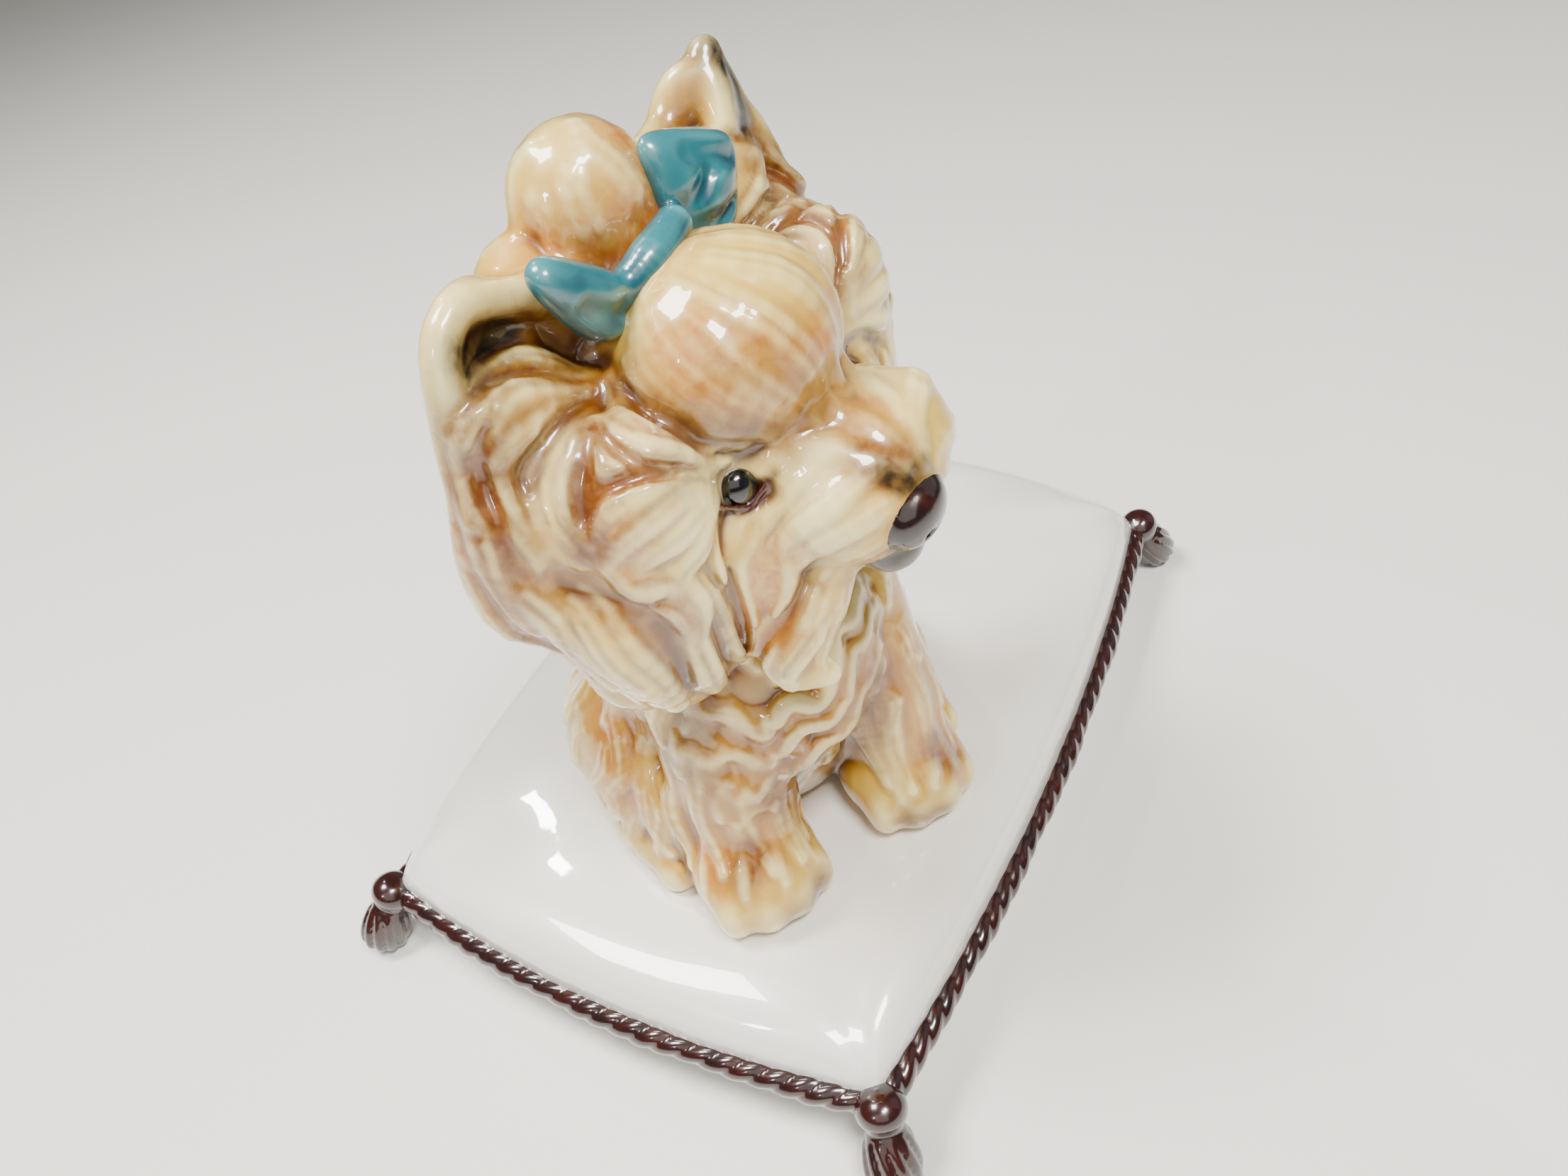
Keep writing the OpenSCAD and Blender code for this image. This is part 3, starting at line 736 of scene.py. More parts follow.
# The same on both sides of the head, with paths of outward, forward, up
HEAD_SIDE_STROKES = [
    ("pale", 4.0, 0.9, [[15, 17, 7], [20, 16, 9], [24, 14, 9]]),
    ("pale", 4.5, 0.9, [[8, 24, 6], [11, 24, 0], [15, 20, -5]]),
    ("pale", 4.0, 0.7, [[26, 12, 8], [27, 13, 2], [26, 14, -4]]),
    ("pale", 3.0, 0.8, [[24, 3, 19], [27, 3, 16.5], [29.5, 5, 12]]),
    ("pale", 3.0, 0.9, [[12, 15, 10], [17, 13.5, 14], [21, 10, 18]]),
    ("brown", 4.6, 1.0, [[30, -3, 25], [32, -3, 21], [34, -2, 15], [34, -2, 7]]),
    ("brown", 2.0, 0.9, [[15, -3, 18], [20, -5, 19.5], [26, -4, 21], [30, -3, 22]]),
    ("brown", 1.6, 0.8, [[24, -3, 18], [29, -2, 17.5], [31, -1, 13], [31.5, 2, 8]]),
    ("peach", 4.5, 1.0, [[34, -4, 17], [35, -4, 8], [35, -4, 0], [34, -1, -8]]),
    ("peach", 3.4, 1.0, [[17, -3, 18], [24, -4, 20], [30, -3, 20]]),
    ("brown", 2.4, 1.0, [[21, 6, 19.5], [24.5, 7, 18.5], [27, 7, 16], [30, 7.5, 11]]),
    ("peach", 4.4, 0.9, [[20, 10, 19], [25, 10, 16], [29, 9, 11]]),
    ("peach", 3.6, 0.8, [[28, 12, 10], [29, 11, 5], [28, 13, -2]]),
    ("brown", 2.8, 0.8, [[14, -1, 18], [17, 1, 19], [19, 4, 20]]),
    ("peach", 4.0, 0.9, [[15, 19, -5], [17, 18, -11], [18, 18, -17]]),
    # Greenish-tan painted shade low on the jowl
    ("olive_shade", 5.0, 0.7, [[24, 14, -4], [24, 13, -14], [22, 12, -22]]),
]
# Strokes on the body, and those on both sides of it
BODY_STROKES = [
    # Wide, faint brown on the chest under the beard, laid as painted shade
    ("brown", 7.0, 0.4, [[-14, 26, 66], [-10, 29, 58], [-4, 30, 52], [4, 29, 60]]),
    ("brown", 4.0, 0.8, [[-23, 12, 56], [-22, 20, 57], [-19, 25, 54]]),
    ("brown", 5.0, 0.9, [[-10, 30, 48], [-6, 29, 42]]),
    ("brown", 4.0, 0.9, [[9, 29, 58], [8, 28, 50], [6, 26, 44]]),
    ("brown", 3.5, 0.8, [[-18, 27, 66], [-20, 24, 60]]),
    ("peach", 8.0, 0.8, [[0, -24, 70], [0, -26, 54]]),
    ("peach", 10.0, 0.55, [[-14, 26, 46], [-4, 30, 56], [6, 28, 62]]),
    # A broad greenish-tan painted shade over the body under the head
    ("olive_shade", 36.0, 0.9, [[0, 6, 44]]),
]
BODY_SIDE_STROKES = [
    ("brown", 2.4, 0.9, [[18, 32, 40], [20, 32, 35]]),
    ("peach", 4.5, 0.9, [[22, 28, 36], [17, 32, 40]]),
    ("brown", 2.2, 0.9, [[9, 36, 29], [15, 37, 27]]),
    # Greenish-tan painted shade where the leg meets the chest
    ("olive_shade", 5.0, 0.9, [[16, 27, 56], [20, 26, 48], [24, 22, 40]]),
    ("peach", 7.0, 0.5, [[16, 28, 58], [18, 28, 44]]),
    ("peach", 6.0, 0.8, [[27, 2, 52], [27, 8, 40]]),
    ("peach", 6.0, 0.7, [[20, -16, 66], [24, -12, 54]]),
]

for space, strokes, sides in ((HEAD, HEAD_STROKES, [LEFT]), (HEAD, HEAD_SIDE_STROKES, [LEFT, RIGHT]),
                              (BODY, BODY_STROKES, [LEFT]), (BODY, BODY_SIDE_STROKES, [LEFT, RIGHT])):
    for color, radius, strength, path in strokes:
        for side in sides:
            spray(color, space, radius, strength, mirrored(path, side))


# ---------------------------------------------------------------- pieces from the clay

# Each piece of clay runs this far past its borders, and is sunk this deep there under its neighbours
OVERLAP = 0.9
SUNK = 0.14


def shell_of(clay, owner, rivals):
    """The clay that belongs to one piece."""
    border = (clay.own[owner] - rivals) / 2
    sunk = SUNK * np.clip(border / 0.5, 0, 1)
    return np.maximum(clay.field + sunk, border - OVERLAP)


def mesh_object(name, points, faces):
    mesh = bpy.data.meshes.new(name)
    mesh.from_pydata((np.asarray(points, float) * MM).tolist(), [], [list(f) for f in faces])
    mesh.validate()
    mesh.polygons.foreach_set("use_smooth", [True] * len(mesh.polygons))
    mesh.update()
    piece = bpy.data.objects.new(name, mesh)
    bpy.context.collection.objects.link(piece)
    return piece


def biggest_parts(points, quads, least=150):
    """Drops loose crumbs of mesh with fewer points than the least."""
    label = np.arange(len(points))
    while True:
        low = label[quads].min(1)
        new = label.copy()
        for k in range(4):
            np.minimum.at(new, quads[:, k], low)
        new = new[new]
        if (new == label).all():
            break
        label = new
    ids, counts = np.unique(label, return_counts=True)
    good = np.isin(label, ids[counts >= least])
    if not good.any():
        good = label == ids[counts.argmax()]
    kept = quads[good[quads[:, 0]]]
    number = np.cumsum(good) - 1
    return points[good], number[kept]


def take_over(piece, node):
    """Fixes a piece to the root, in place of a node of the CAD model."""
    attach(piece, "root")
    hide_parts(node)
    return piece


def add_attribute(piece, name, values):
    attribute = piece.data.attributes.new(name, "FLOAT", "POINT")
    attribute.data.foreach_set("value", np.asarray(values, np.float32))


def clay_pieces(clay):
    """One mesh for each owner in the clay."""
    nearest = np.minimum.reduce(list(clay.own.values()))
    second = np.full(clay.size, FAR, np.float32)
    for own in clay.own.values():
        np.minimum(second, own, out=second, where=own > nearest)
    clamped = np.clip(clay.field, -FAR, FAR)
    fine = blurred(clamped, max(int(round(0.9 / clay.voxel)), 1))
    wide = blurred(clamped, max(int(round(2.6 / clay.voxel)), 1))
    return {owner: clay_piece(clay, owner, np.where(own > nearest, nearest, second), fine, wide)
            for owner, own in clay.own.items()}


def clay_piece(clay, owner, rivals, fine, wide):
    """The mesh of one owner, with its grooves, hollows and painted colours as attributes."""
    values = np.clip(shell_of(clay, owner, rivals), -3, 3).astype(np.float32)
    inside = np.argwhere(values < 0)
    first = np.maximum(inside.min(0) - 2, 0)
    last = np.minimum(inside.max(0) + 3, clay.size)
    crop = np.ascontiguousarray(values[tuple(slice(a, b) for a, b in zip(first, last))])
    grid = openvdb.FloatGrid(3.0)
    grid.copyFromArray(crop)
    points, quads = grid.convertToQuads(isovalue=0.0)
    points, quads = biggest_parts(points, quads[:, ::-1].astype(int))
    points = (points + first) * clay.voxel + clay.low
    piece = mesh_object(owner, points, quads)
    level = clay.sample(clay.field, points)
    add_attribute(piece, "groove", clay.sample(fine, points) - level)
    add_attribute(piece, "hollow", clay.sample(wide, points) - level)
    for name, strokes in SPRAYS.items():
        add_attribute(piece, name, sprayed(points, strokes))
    return take_over(piece, owner)


def faceted(clay, owner, space, middle, planes, rounding=1.2, blend=1.5):
    """A puffed solid with flat sides, each given as its direction and its distance from the middle."""
    centre = space.out(middle)
    reach = 1.6 * max(distance for _, distance in planes)
    window = clay.window(centre - reach, centre + reach)
    places = [place - np.float32(c) for place, c in zip(clay.places(window), centre)]
    total = 0
    for direction, distance in planes:
        direction = np.array(direction, float) @ space.axes
        direction /= np.linalg.norm(direction)
        total = total + np.exp(np.minimum((dot(places, direction) - distance) / rounding, 20))
    clay.add(owner, window, (rounding * np.log(total)).astype(np.float32), blend)


LOOP_MIDDLE = {LEFT: [14, 0.5, 30], RIGHT: [-10.5, 0.5, 29.5]}
# Sides of the bow's two loops, as (direction, distance from the loop's middle)
LOOP_SIDES = {
    LEFT: [
        ((0.49, 0, 0.87), 6.4), ((0.97, 0, -0.24), 8.0), ((-0.38, 0, -0.92), 6.8), ((-1, 0, 0.08), 8.2),
        ((-0.30, 1, 0.15), 4.2), ((0.55, 1, -0.25), 4.6), ((0.1, 1, 0.9), 5.2), ((0, -1, 0), 3.6),
    ],
    RIGHT: [
        ((0.69, 0, 0.73), 4.2), ((-0.95, 0, -0.31), 5.0), ((-0.86, 0, -0.52), 4.8), ((0.23, 0, -0.97), 7.0),
        ((1, 0, 0), 6.8), ((-0.5, 0, 0.87), 9.6), ((0.2, 1, 0.45), 3.8), ((-0.4, 1, -0.35), 4.0),
        ((0, -1, 0), 3.2),
    ],
}
# Creases pressed into the loops' faces, as paths
PLEATS = {
    LEFT: [[[5, 3.5, 30], [9, 3.8, 30], [13, 3.2, 32]], [[6, 3.8, 27.5], [11, 4, 26], [16, 3, 26]],
           [[12, 3.4, 35], [15, 3.6, 33], [18, 3.4, 31]]],
    RIGHT: [[[-7, 4, 26], [-10, 4, 27], [-13, 3.6, 30]]],
}


def build_ribbon():
    """The bow, modelled in clay of its own: a narrow knot and two gathered loops with creased faces."""
    low, high = zip(*(box_mm(node) for node in ("bow_knot", "bow_loop_left", "bow_loop_right")))
    ribbon = Clay(np.min(low, 0) - 5, np.max(high, 0) + 5, RIBBON_VOXEL)
    for side, sides in LOOP_SIDES.items():
        owner = "bow_loop_" + SIDE_NAME[side]
        faceted(ribbon, owner, HEAD, LOOP_MIDDLE[side], sides)
        for pleat in PLEATS[side]:
            path = smooth_path(HEAD.out(pleat), 10)
            facing = np.tile(HEAD.axes[1], (10, 1))
            ribbon.cut(*bar_distance(ribbon, path, facing, ramp([1.5, 1.1, 0.5], 10)), 2.0)
    knot = [[-6, 1.6, 27.4], [-1, 2.8, 28.6], [5, 2.2, 29.4]]
    tube(ribbon, "bow_knot", HEAD, knot, [2.1, 2.9, 2.4], blend=0.8)
    return clay_pieces(ribbon)


def surface_object(name, points, closed_ends):
    """A tube of quads from rows of points, each row a closed ring, with a fan over each closed end."""
    rows, ring, _ = points.shape
    flat = list(points.reshape(-1, 3))
    quad = ((0, 0), (0, 1), (1, 1), (1, 0))
    faces = [[(k + row) * ring + (i + step) % ring for row, step in quad]
             for k in range(rows - 1) for i in range(ring)]
    if closed_ends:
        for row, flip in ((0, True), (rows - 1, False)):
            flat.append(points[row].mean(0))
            middle = len(flat) - 1
            for i in range(ring):
                pair = [row * ring + i, row * ring + (i + 1) % ring]
                faces.append([middle, *(pair[::-1] if flip else pair)])
    return mesh_object(name, flat, faces)


def build_eye(side):
    """A glossy bead set in its socket."""
    rows, ring = 24, 48
    bead = Ball(HEAD, [side * 11.9, 14.8, 5.2], [2.7, 2.2, 2.6], yaw=side * -35)
    v = np.linspace(0.02, math.pi - 0.02, rows)[:, None]
    u = np.linspace(0, 2 * math.pi, ring, endpoint=False)
    unit = np.stack(np.broadcast_arrays(np.sin(v) * np.cos(u), np.cos(v), -np.sin(v) * np.sin(u)), -1)
    points = bead.centre + (unit * bead.radii) @ bead.axes
    name = "eye_" + SIDE_NAME[side]
    return take_over(surface_object(name, points, True), name)


# ---------------------------------------------------------------- cushion, cord and tassels

cushion_low, cushion_high = box_mm("cushion")
SEAM_HEIGHT = float(middle_mm("cord_front")[2])
CROWN_HEIGHT = float(cushion_high[2]) - SEAM_HEIGHT
TASSELS = {name: middle_mm("tassel_" + name)
           for name in ("front_left", "front_right", "back_right", "back_left")}
CORD_RADIUS = 2.3
# How far the middle of each side bows out past its corners
SIDE_BOW = 5.0
HALF_LENGTH = float(cushion_high[0] - cushion_low[0]) / 2 - SIDE_BOW + CORD_RADIUS
HALF_DEPTH = float(cushion_high[1] - cushion_low[1]) / 2 - SIDE_BOW + CORD_RADIUS
VENT_RADIUS = 4.0


def seam(side, t, half_length, half_depth):
    """Points of the seam outline along one side, t running from 0 to 1 between its corners."""
    along = np.sin(math.pi / 2 * (2 * np.asarray(t) - 1))
    bow = SIDE_BOW * (1 - along ** 2)
    edges = [
        (along * half_length, -half_depth - bow), (half_length + bow, along * half_depth),
        (-along * half_length, half_depth + bow), (-half_length - bow, -along * half_depth),
    ]
    return np.stack(np.broadcast_arrays(*edges[side]), -1)


def unit_square(count):
    """The seam outline as points round a square from -1 to 1."""
    t = np.linspace(0, 1, count // 4, endpoint=False)
    along = np.sin(math.pi / 2 * (2 * t - 1))
    one = np.ones_like(along)
    sides = ((along, -one), (one, along), (-along, one), (-one, -along))
    return np.concatenate([np.stack(side, -1) for side in sides])


def puff(square, hardness):
    """Height of the pillow as a share of its full height, over the unit square."""
    full = np.maximum((1 - square[:, 0] ** 2) * (1 - square[:, 1] ** 2), 0) ** 0.34
    return (1 - np.exp(-hardness * full)) / (1 - math.exp(-hardness))


def creases(square):
    """Soft folds that fan out from the corners, as a share of their full depth."""
    total = np.zeros(len(square))
    for cx in (-1, 1):
        for cy in (-1, 1):
            dx, dy = (1 - cx * square[:, 0]) * 1.4, 1 - cy * square[:, 1]
            reach = np.hypot(dx, dy)
            angle = np.arctan2(dy, dx)
            fade = np.clip(reach / 0.25, 0, 1) * np.exp(-(reach / 0.75) ** 2)
            total += fade * np.cos(7 * angle + 0.8 * cx + 1.9 * cy + 2.0 * reach)
    return total


def build_cushion():
    """The pillow from the vent under it, over the seam and up to its middle, dented where the dog sits."""
    count, steps = 400, 70
    t = np.linspace(0, 1, count // 4, endpoint=False)
    outline = np.concatenate([seam(side, t, HALF_LENGTH, HALF_DEPTH) for side in range(4)])
    square = unit_square(count)
    shares = 1 - (1 - np.linspace(0, 1, steps)) ** 1.9
    low_edge = VENT_RADIUS / np.linalg.norm(outline, axis=1)
    rows = []
    for share in shares:
        part = low_edge + (1 - low_edge) * share
        height = SEAM_HEIGHT * (1 - puff(part[:, None] * square, 5.5))
        rows.append(np.column_stack([part[:, None] * outline, height]))
    dog = BODY.out([0, 8, 0])
    crease_depth, bore_length = 0.45, 5
    for share in shares[-2::-1]:
        place, flat = share * outline, share * square
        sag = 1.6 * np.exp(-(((place - dog[:2]) / [34, 30]) ** 2).sum(1))
        rise = (CROWN_HEIGHT - sag) * puff(flat, 3.0) + crease_depth * (creases(flat) - 1)
        rows.append(np.column_stack([place, SEAM_HEIGHT + np.minimum(rise, CROWN_HEIGHT)]))
    bore = rows[0].copy()
    bore[:, 2] += bore_length
    rows.insert(0, bore)
    return take_over(surface_object("cushion", np.array(rows), False), "cushion")


def build_cord(side, node):
    """Three strands twisted together, their ends running in under the knobs of the tassels."""
    rings, ring = 460, 30
    t = np.linspace(0.035, 0.965, rings)
    proud = 0.4
    outline = seam(side, t, HALF_LENGTH + proud, HALF_DEPTH + proud)
    path = np.column_stack([outline, np.full(rings, SEAM_HEIGHT)])
    step = np.gradient(path, axis=0)
    run = np.concatenate([[0], np.cumsum(np.linalg.norm(np.diff(path, axis=0), axis=1))])
    across = np.cross(step / np.linalg.norm(step, axis=1, keepdims=True), [0, 0, 1.0])
    turn = np.linspace(0, 2 * math.pi, ring, endpoint=False)
    lead = 13.0
    wobble = 1 + 0.07 * np.sin(run / 5.1 + side) + 0.05 * np.sin(run / 2.3 + 2 * side)
    strands = np.abs(np.cos(1.5 * (turn[None] - 2 * math.pi * run[:, None] / lead)))
    radius = CORD_RADIUS * wobble[:, None] * (0.84 + 0.18 * strands)
    cos, sin = np.cos(turn)[None, :, None], np.sin(turn)[None, :, None]
    out = cos * across[:, None] + sin * np.array([0, 0, 1.0])
    return take_over(surface_object(node, path[:, None] + radius[..., None] * out, True), node)


def build_tassel(name):
    """A round knob over a collar and a flared skirt of strands."""
    node = "tassel_" + name
    middle = TASSELS[name]
    outward = np.array([middle[0], middle[1], 0.0])
    outward /= np.linalg.norm(outward)
    lean = math.radians(30)
    axis = math.sin(lean) * outward - math.cos(lean) * np.array([0, 0, 1.0])
    side = np.cross([0, 0, 1.0], outward)
    front = np.cross(axis, side)
    knob = [[0.1, -3.7], [2.4, -3.1], [3.9, -1.4], [4.0, 0.6], [3.0, 2.3], [3.3, 3.4]]
    flare = [[4.1, 5.2], [4.7, 8.5], [4.5, 11.2], [3.6, 12.3], [1.5, 12.6], [0.1, 12.6]]
    profile = smooth_path(knob + flare, 90)
    turn = np.linspace(0, 2 * math.pi, 72, endpoint=False)
    skirt = np.clip((profile[:, 1] - 3.2) / 2, 0, 1)
    strands = np.abs(np.cos(5.5 * turn[None] + 0.35 * profile[:, 1:2])) ** 0.7
    radius = profile[:, :1] * (1 - skirt[:, None] * 0.16 * (1 - strands))
    top = middle - axis * 4.4
    out = np.cos(turn)[:, None] * side + np.sin(turn)[:, None] * front
    points = top + profile[:, 1, None, None] * axis + radius[..., None] * out
    return take_over(surface_object(node, points, True), node)


# ---------------------------------------------------------------- glazes

def linear(red, green, blue):
    """A colour given from 0 to 255, as the shader's linear values."""
    def one(value):
        value /= 255
        return value / 12.92 if value <= 0.04045 else ((value + 0.055) / 1.055) ** 2.4
    return (one(red), one(green), one(blue), 1.0)


class Glaze:
    """A clear glaze over colours that are mixed by masks. The colours are given from 0 to 255."""

    def __init__(self, name, color, roughness=0.3):
        self.material = bpy.data.materials.new(name)
        self.material.use_nodes = True
        self.tree = self.material.node_tree
        self.shader = self.tree.nodes["Principled BSDF"]
        self.shader.inputs["Roughness"].default_value = roughness
        self.shader.inputs["IOR"].default_value = 1.5
        self.shader.inputs["Coat Weight"].default_value = 1.0
        self.shader.inputs["Coat Roughness"].default_value = 0.03
        self.shader.inputs["Coat IOR"].default_value = 1.5
        self.place = self.node("ShaderNodeTexCoord").outputs["Object"]
        rgb = self.node("ShaderNodeRGB")
        rgb.outputs[0].default_value = linear(*color)
        self.color = rgb.outputs[0]

    def node(self, kind, **settings):
        node = self.tree.nodes.new(kind)
        for key, value in settings.items():
            setattr(node, key, value)
        return node

    def feed(self, socket, value):
        if isinstance(value, (int, float)):
            socket.default_value = value
        else:
            self.tree.links.new(value, socket)

    def math(self, operation, a, b):
        node = self.node("ShaderNodeMath", operation=operation)
        self.feed(node.inputs[0], a)
        self.feed(node.inputs[1], b)
        return node.outputs[0]

    def times(self, a, b):
        return self.math("MULTIPLY", a, b)

    def line(self, value, slope, offset):
        """The value times the slope, plus the offset."""
        return self.math("ADD", self.times(value, slope), offset)

    def noise(self, scale, detail=3.0, distortion=0.0):
        """Noise over the object, with the scale in waves per metre."""
        node = self.node("ShaderNodeTexNoise")
        node.inputs["Scale"].default_value = scale
        node.inputs["Detail"].default_value = detail
        node.inputs["Distortion"].default_value = distortion
        self.tree.links.new(self.place, node.inputs["Vector"])
        return node.outputs["Fac"]

    def stretch(self, value, low, high):
        """How far the value is on its way from low to high, from 0 to 1 and eased at both ends."""
        node = self.node("ShaderNodeMapRange", clamp=True, interpolation_type="SMOOTHSTEP")
        for socket, source in zip(node.inputs[:3], (value, low, high)):
            self.feed(socket, source)
        return node.outputs[0]

    def attribute(self, name):
        return self.node("ShaderNodeAttribute", attribute_name=name).outputs["Fac"]

    def layer(self, color, mask, strength=1.0):
        """Lays a colour over the glaze, as far as the mask says at the given strength."""
        node = self.node("ShaderNodeMix", data_type="RGBA", clamp_factor=True)
        self.feed(node.inputs[0], self.times(mask, strength))
        self.tree.links.new(self.color, node.inputs[6])
        node.inputs[7].default_value = linear(*color)
        self.color = node.outputs[2]

    def finish(self, bump=0.0, bump_scale=400.0):
        self.tree.links.new(self.color, self.shader.inputs["Base Color"])
        if bump:
            node = self.node("ShaderNodeBump")
            node.inputs["Strength"].default_value = bump
            node.inputs["Distance"].default_value = 0.0002
            self.tree.links.new(self.noise(bump_scale, 2.0), node.inputs["Height"])
            self.tree.links.new(node.outputs[0], self.shader.inputs["Normal"])
            self.tree.links.new(node.outputs[0], self.shader.inputs["Coat Normal"])
        return self.material


def coat_glaze():
    """Ivory hair, airbrushed in peach, brown and black, with glaze pooled in its grooves, painted shade in
    greenish tan and brown in its grooves and hollows, and painted highlights on its crests and swells.
    """
    g = Glaze("coat_glaze", (226, 188, 86))
    crevice_shade = g.stretch(g.times(g.attribute("groove"), -1.0), 0.00, 0.25)
    basin_glaze_and_shade = g.stretch(g.times(g.attribute("hollow"), -1.0), 0.00, 0.7)
    crest = g.stretch(g.attribute("groove"), 0.03, 0.24)
    swell_highlight = g.stretch(g.attribute("hollow"), 0.1, 0.9)
    patches = g.stretch(g.noise(95, 2.0), 0.40, 0.62)
    streaks = g.stretch(g.noise(420, 3.0, 0.6), 0.35, 0.7)
    g.layer((200, 164, 56), patches, 0.6)
    # Painted highlight on the broad swells
    g.layer((246, 228, 148), swell_highlight, 0.6)
    warm = g.stretch(g.noise(60, 3.0, 0.5), 0.45, 0.64)
    g.layer((200, 132, 38), warm, 0.5)
    # Greenish-tan painted shade from its strokes: in grooves, under the fringes and under the head
    g.layer((156, 116, 34), g.attribute("olive_shade"), 0.85)
    # Glaze pooled in the broad hollows, darkened there as painted shade
    g.layer((152, 98, 24), basin_glaze_and_shade, 0.85)
    # Glaze pooled in the grooves, darkened there as painted shade
    g.layer((116, 66, 10), crevice_shade, 0.8)
    # Painted highlight on the crests of the locks; the peach and brown laid below also fade on the crests
    g.layer((250, 236, 170), crest, 0.7)
    g.layer((252, 238, 180), g.attribute("pale"), 0.65)
    peach = g.times(g.attribute("peach"), g.line(streaks, 0.35, 0.55))
    g.layer((174, 88, 12), peach, g.line(crest, -0.5, 1.0))
    brown = g.times(g.attribute("brown"), g.line(streaks, 0.25, 0.75))
    g.layer((98, 48, 2), brown, g.line(crest, -0.3, 1.0))
    # Deepest painted shade where grooves run through hollows, over the pooled glaze
    g.layer((76, 36, 5), g.times(crevice_shade, basin_glaze_and_shade), 0.85)
    black = g.times(g.attribute("black"), g.line(streaks, 0.3, 0.8))
    g.layer((104, 56, 4), g.attribute("strand"), 0.62)
    gleam = g.times(g.attribute("gleam"), g.line(brown, -0.35, 0.5))
    g.layer((250, 230, 150), gleam)
    g.layer((12, 6, 3), black)
    g.layer((60, 14, 4), g.attribute("lid"))
    return g.finish(0.05)


def white_glaze():
    """White with faint clouding and a few pinhole specks."""
    g = Glaze("white_glaze", (238, 235, 231), 0.25)
    g.layer((228, 222, 214), g.stretch(g.noise(30, 2.0), 0.4, 0.7), 0.6)
    g.layer((170, 150, 130), g.stretch(g.noise(1500, 1.0), 0.80, 0.84), 0.5)
    return g.finish(0.08, 200)


def maroon_glaze():
    """Dark maroon-brown, darker in some patches and redder in others."""
    g = Glaze("maroon_glaze", (44, 7, 5), 0.25)
    g.layer((26, 6, 6), g.stretch(g.noise(240, 3.0), 0.40, 0.62), 0.8)
    g.layer((72, 16, 10), g.stretch(g.noise(500, 2.0), 0.60, 0.74), 0.5)
    return g.finish(0.2)


def bow_glaze():
    """Turquoise, with painted shade in the pleats and a painted highlight on the folds."""
    g = Glaze("bow_glaze", (26, 102, 114))
    g.layer((8, 64, 84), g.stretch(g.noise(170, 2.0, 0.4), 0.44, 0.62), 0.7)
    # Painted shade in the pleats
    crevice_shade = g.stretch(g.times(g.attribute("groove"), -1.0), 0.02, 0.30)
    g.layer((4, 46, 56), crevice_shade, 0.9)
    # Painted highlight on the folds
    g.layer((110, 186, 184), g.stretch(g.attribute("groove"), 0.08, 0.32), 0.6)
    return g.finish(0.15)


def nose_glaze():
    """Very dark brown, redder in patches."""
    g = Glaze("nose_glaze", (26, 7, 5), 0.2)
    g.layer((56, 18, 12), g.stretch(g.noise(300, 2.0), 0.52, 0.7), 0.6)
    return g.finish(0.1)


def lip_glaze():
    """Smoky grey-brown."""
    g = Glaze("lip_glaze", (92, 80, 74))
    g.layer((52, 42, 40), g.stretch(g.noise(260, 2.0), 0.42, 0.66), 0.8)
    return g.finish(0.1)


def eye_glaze():
    """Near black, with a trace of green."""
    g = Glaze("eye_glaze", (4, 6, 6), 0.15)
    g.layer((16, 28, 25), g.stretch(g.noise(350, 1.0), 0.52, 0.7), 0.6)
    return g.finish()


GLAZES = {make.__name__: make() for make in (coat_glaze, white_glaze, maroon_glaze, bow_glaze, nose_glaze,
                                             lip_glaze, eye_glaze)}


def dip(piece, slot):
    """Gives a piece its glaze."""
    piece.data.materials.append(GLAZES[slot])


for owner, piece in clay_pieces(clay).items():
    dip(piece, {"nose": "nose_glaze", "lower_lip": "lip_glaze"}.get(owner, "coat_glaze"))
for piece in build_ribbon().values():
    dip(piece, "bow_glaze")
for side in (LEFT, RIGHT):
    dip(build_eye(side), "eye_glaze")
dip(build_cushion(), "white_glaze")
for k, node in enumerate(("cord_front", "cord_right", "cord_back", "cord_left")):
    dip(build_cord(k, node), "maroon_glaze")
for name in TASSELS:
    dip(build_tassel(name), "maroon_glaze")


# ---------------------------------------------------------------- stage, lights and camera

def build_stage():
    """A plain pale floor."""
    floor_size = 4.0
    bpy.ops.mesh.primitive_plane_add(size=floor_size, location=(0, 0, 0))
    floor = bpy.context.object
    floor.name = "floor"
    material = bpy.data.materials.new("floor")
    material.use_nodes = True
    shader = material.node_tree.nodes["Principled BSDF"]
    shader.inputs["Base Color"].default_value = (0.80, 0.79, 0.76, 1)
    shader.inputs["Roughness"].default_value = 0.6
    floor.data.materials.append(material)


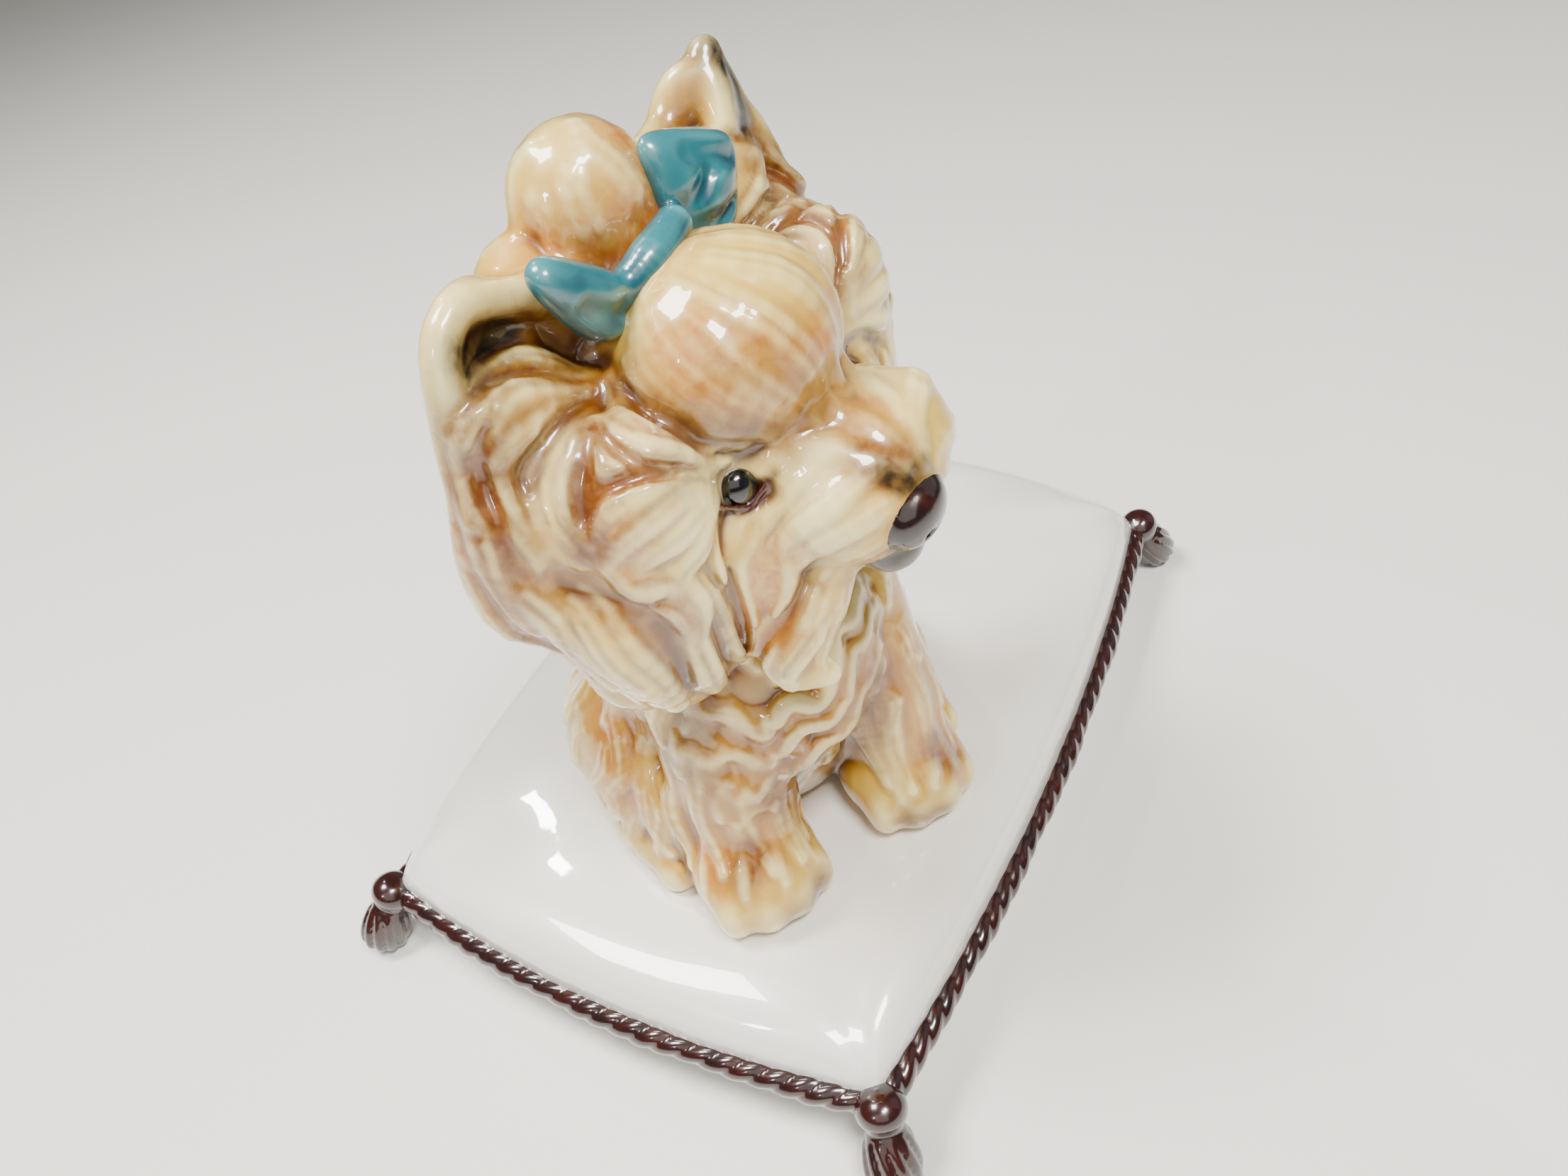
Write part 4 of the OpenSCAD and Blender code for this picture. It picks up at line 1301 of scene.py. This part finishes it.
def area_light(name, place, target, size, power, color=(1, 1, 1)):
    light = bpy.data.lights.new(name, "AREA")
    light.shape = "RECTANGLE"
    light.size, light.size_y = size
    light.energy = power
    light.color = color
    lamp = bpy.data.objects.new(name, light)
    lamp.location = place
    lamp.rotation_euler = (Vector(target) - Vector(place)).to_track_quat("-Z", "Y").to_euler()
    bpy.context.collection.objects.link(lamp)


def build_lights():
    """Two soft windows over the dog, a broad lamp on its right, and small lamps for the edges."""
    world = bpy.data.worlds.new("studio")
    world.use_nodes = True
    world.node_tree.nodes["Background"].inputs["Color"].default_value = (1.0, 0.97, 0.92, 1)
    world.node_tree.nodes["Background"].inputs["Strength"].default_value = 0.15
    bpy.context.scene.world = world
    dog = (-0.04, -0.02, 0.11)
    daylight = (1.0, 0.98, 0.92)
    area_light("window_near", (-0.16, -0.33, 0.74), dog, (0.26, 0.16), 9.0, daylight)
    area_light("window_far", (-0.18, 0.30, 0.74), dog, (0.22, 0.24), 9.0, daylight)
    area_light("back", (0.16, 0.46, 0.62), dog, (0.03, 0.05), 0.9)
    area_light("window", (-0.95, 0.15, 0.75), dog, (0.05, 0.12), 2.0)
    area_light("left", (-1.0, -0.6, 1.0), dog, (1.4, 1.2), 6.0, daylight)
    area_light("fill", (0.75, -0.75, 0.65), dog, (0.8, 0.8), 0.6)


def build_camera():
    """Looks down on the dog's right side from close by."""
    eye = Vector((-0.1335, -0.0974, 0.1855))
    heading, dip, roll = math.radians(35.7), math.radians(41.0), 12.0
    ahead = Vector((math.cos(dip) * math.cos(heading), math.cos(dip) * math.sin(heading), -math.sin(dip)))
    right = ahead.cross(Vector((0, 0, 1))).normalized()
    up = right.cross(ahead)
    right, up = turned(right, up, -roll)
    data = bpy.data.cameras.new("camera")
    data.lens = 26.0
    data.sensor_width = 36.0
    data.clip_start = 0.01
    camera = bpy.data.objects.new("camera", data)
    camera.matrix_world = Matrix.Translation(eye) @ Matrix((right, up, -ahead)).transposed().to_4x4()
    bpy.context.collection.objects.link(camera)
    bpy.context.scene.camera = camera


build_stage()
build_lights()
build_camera()
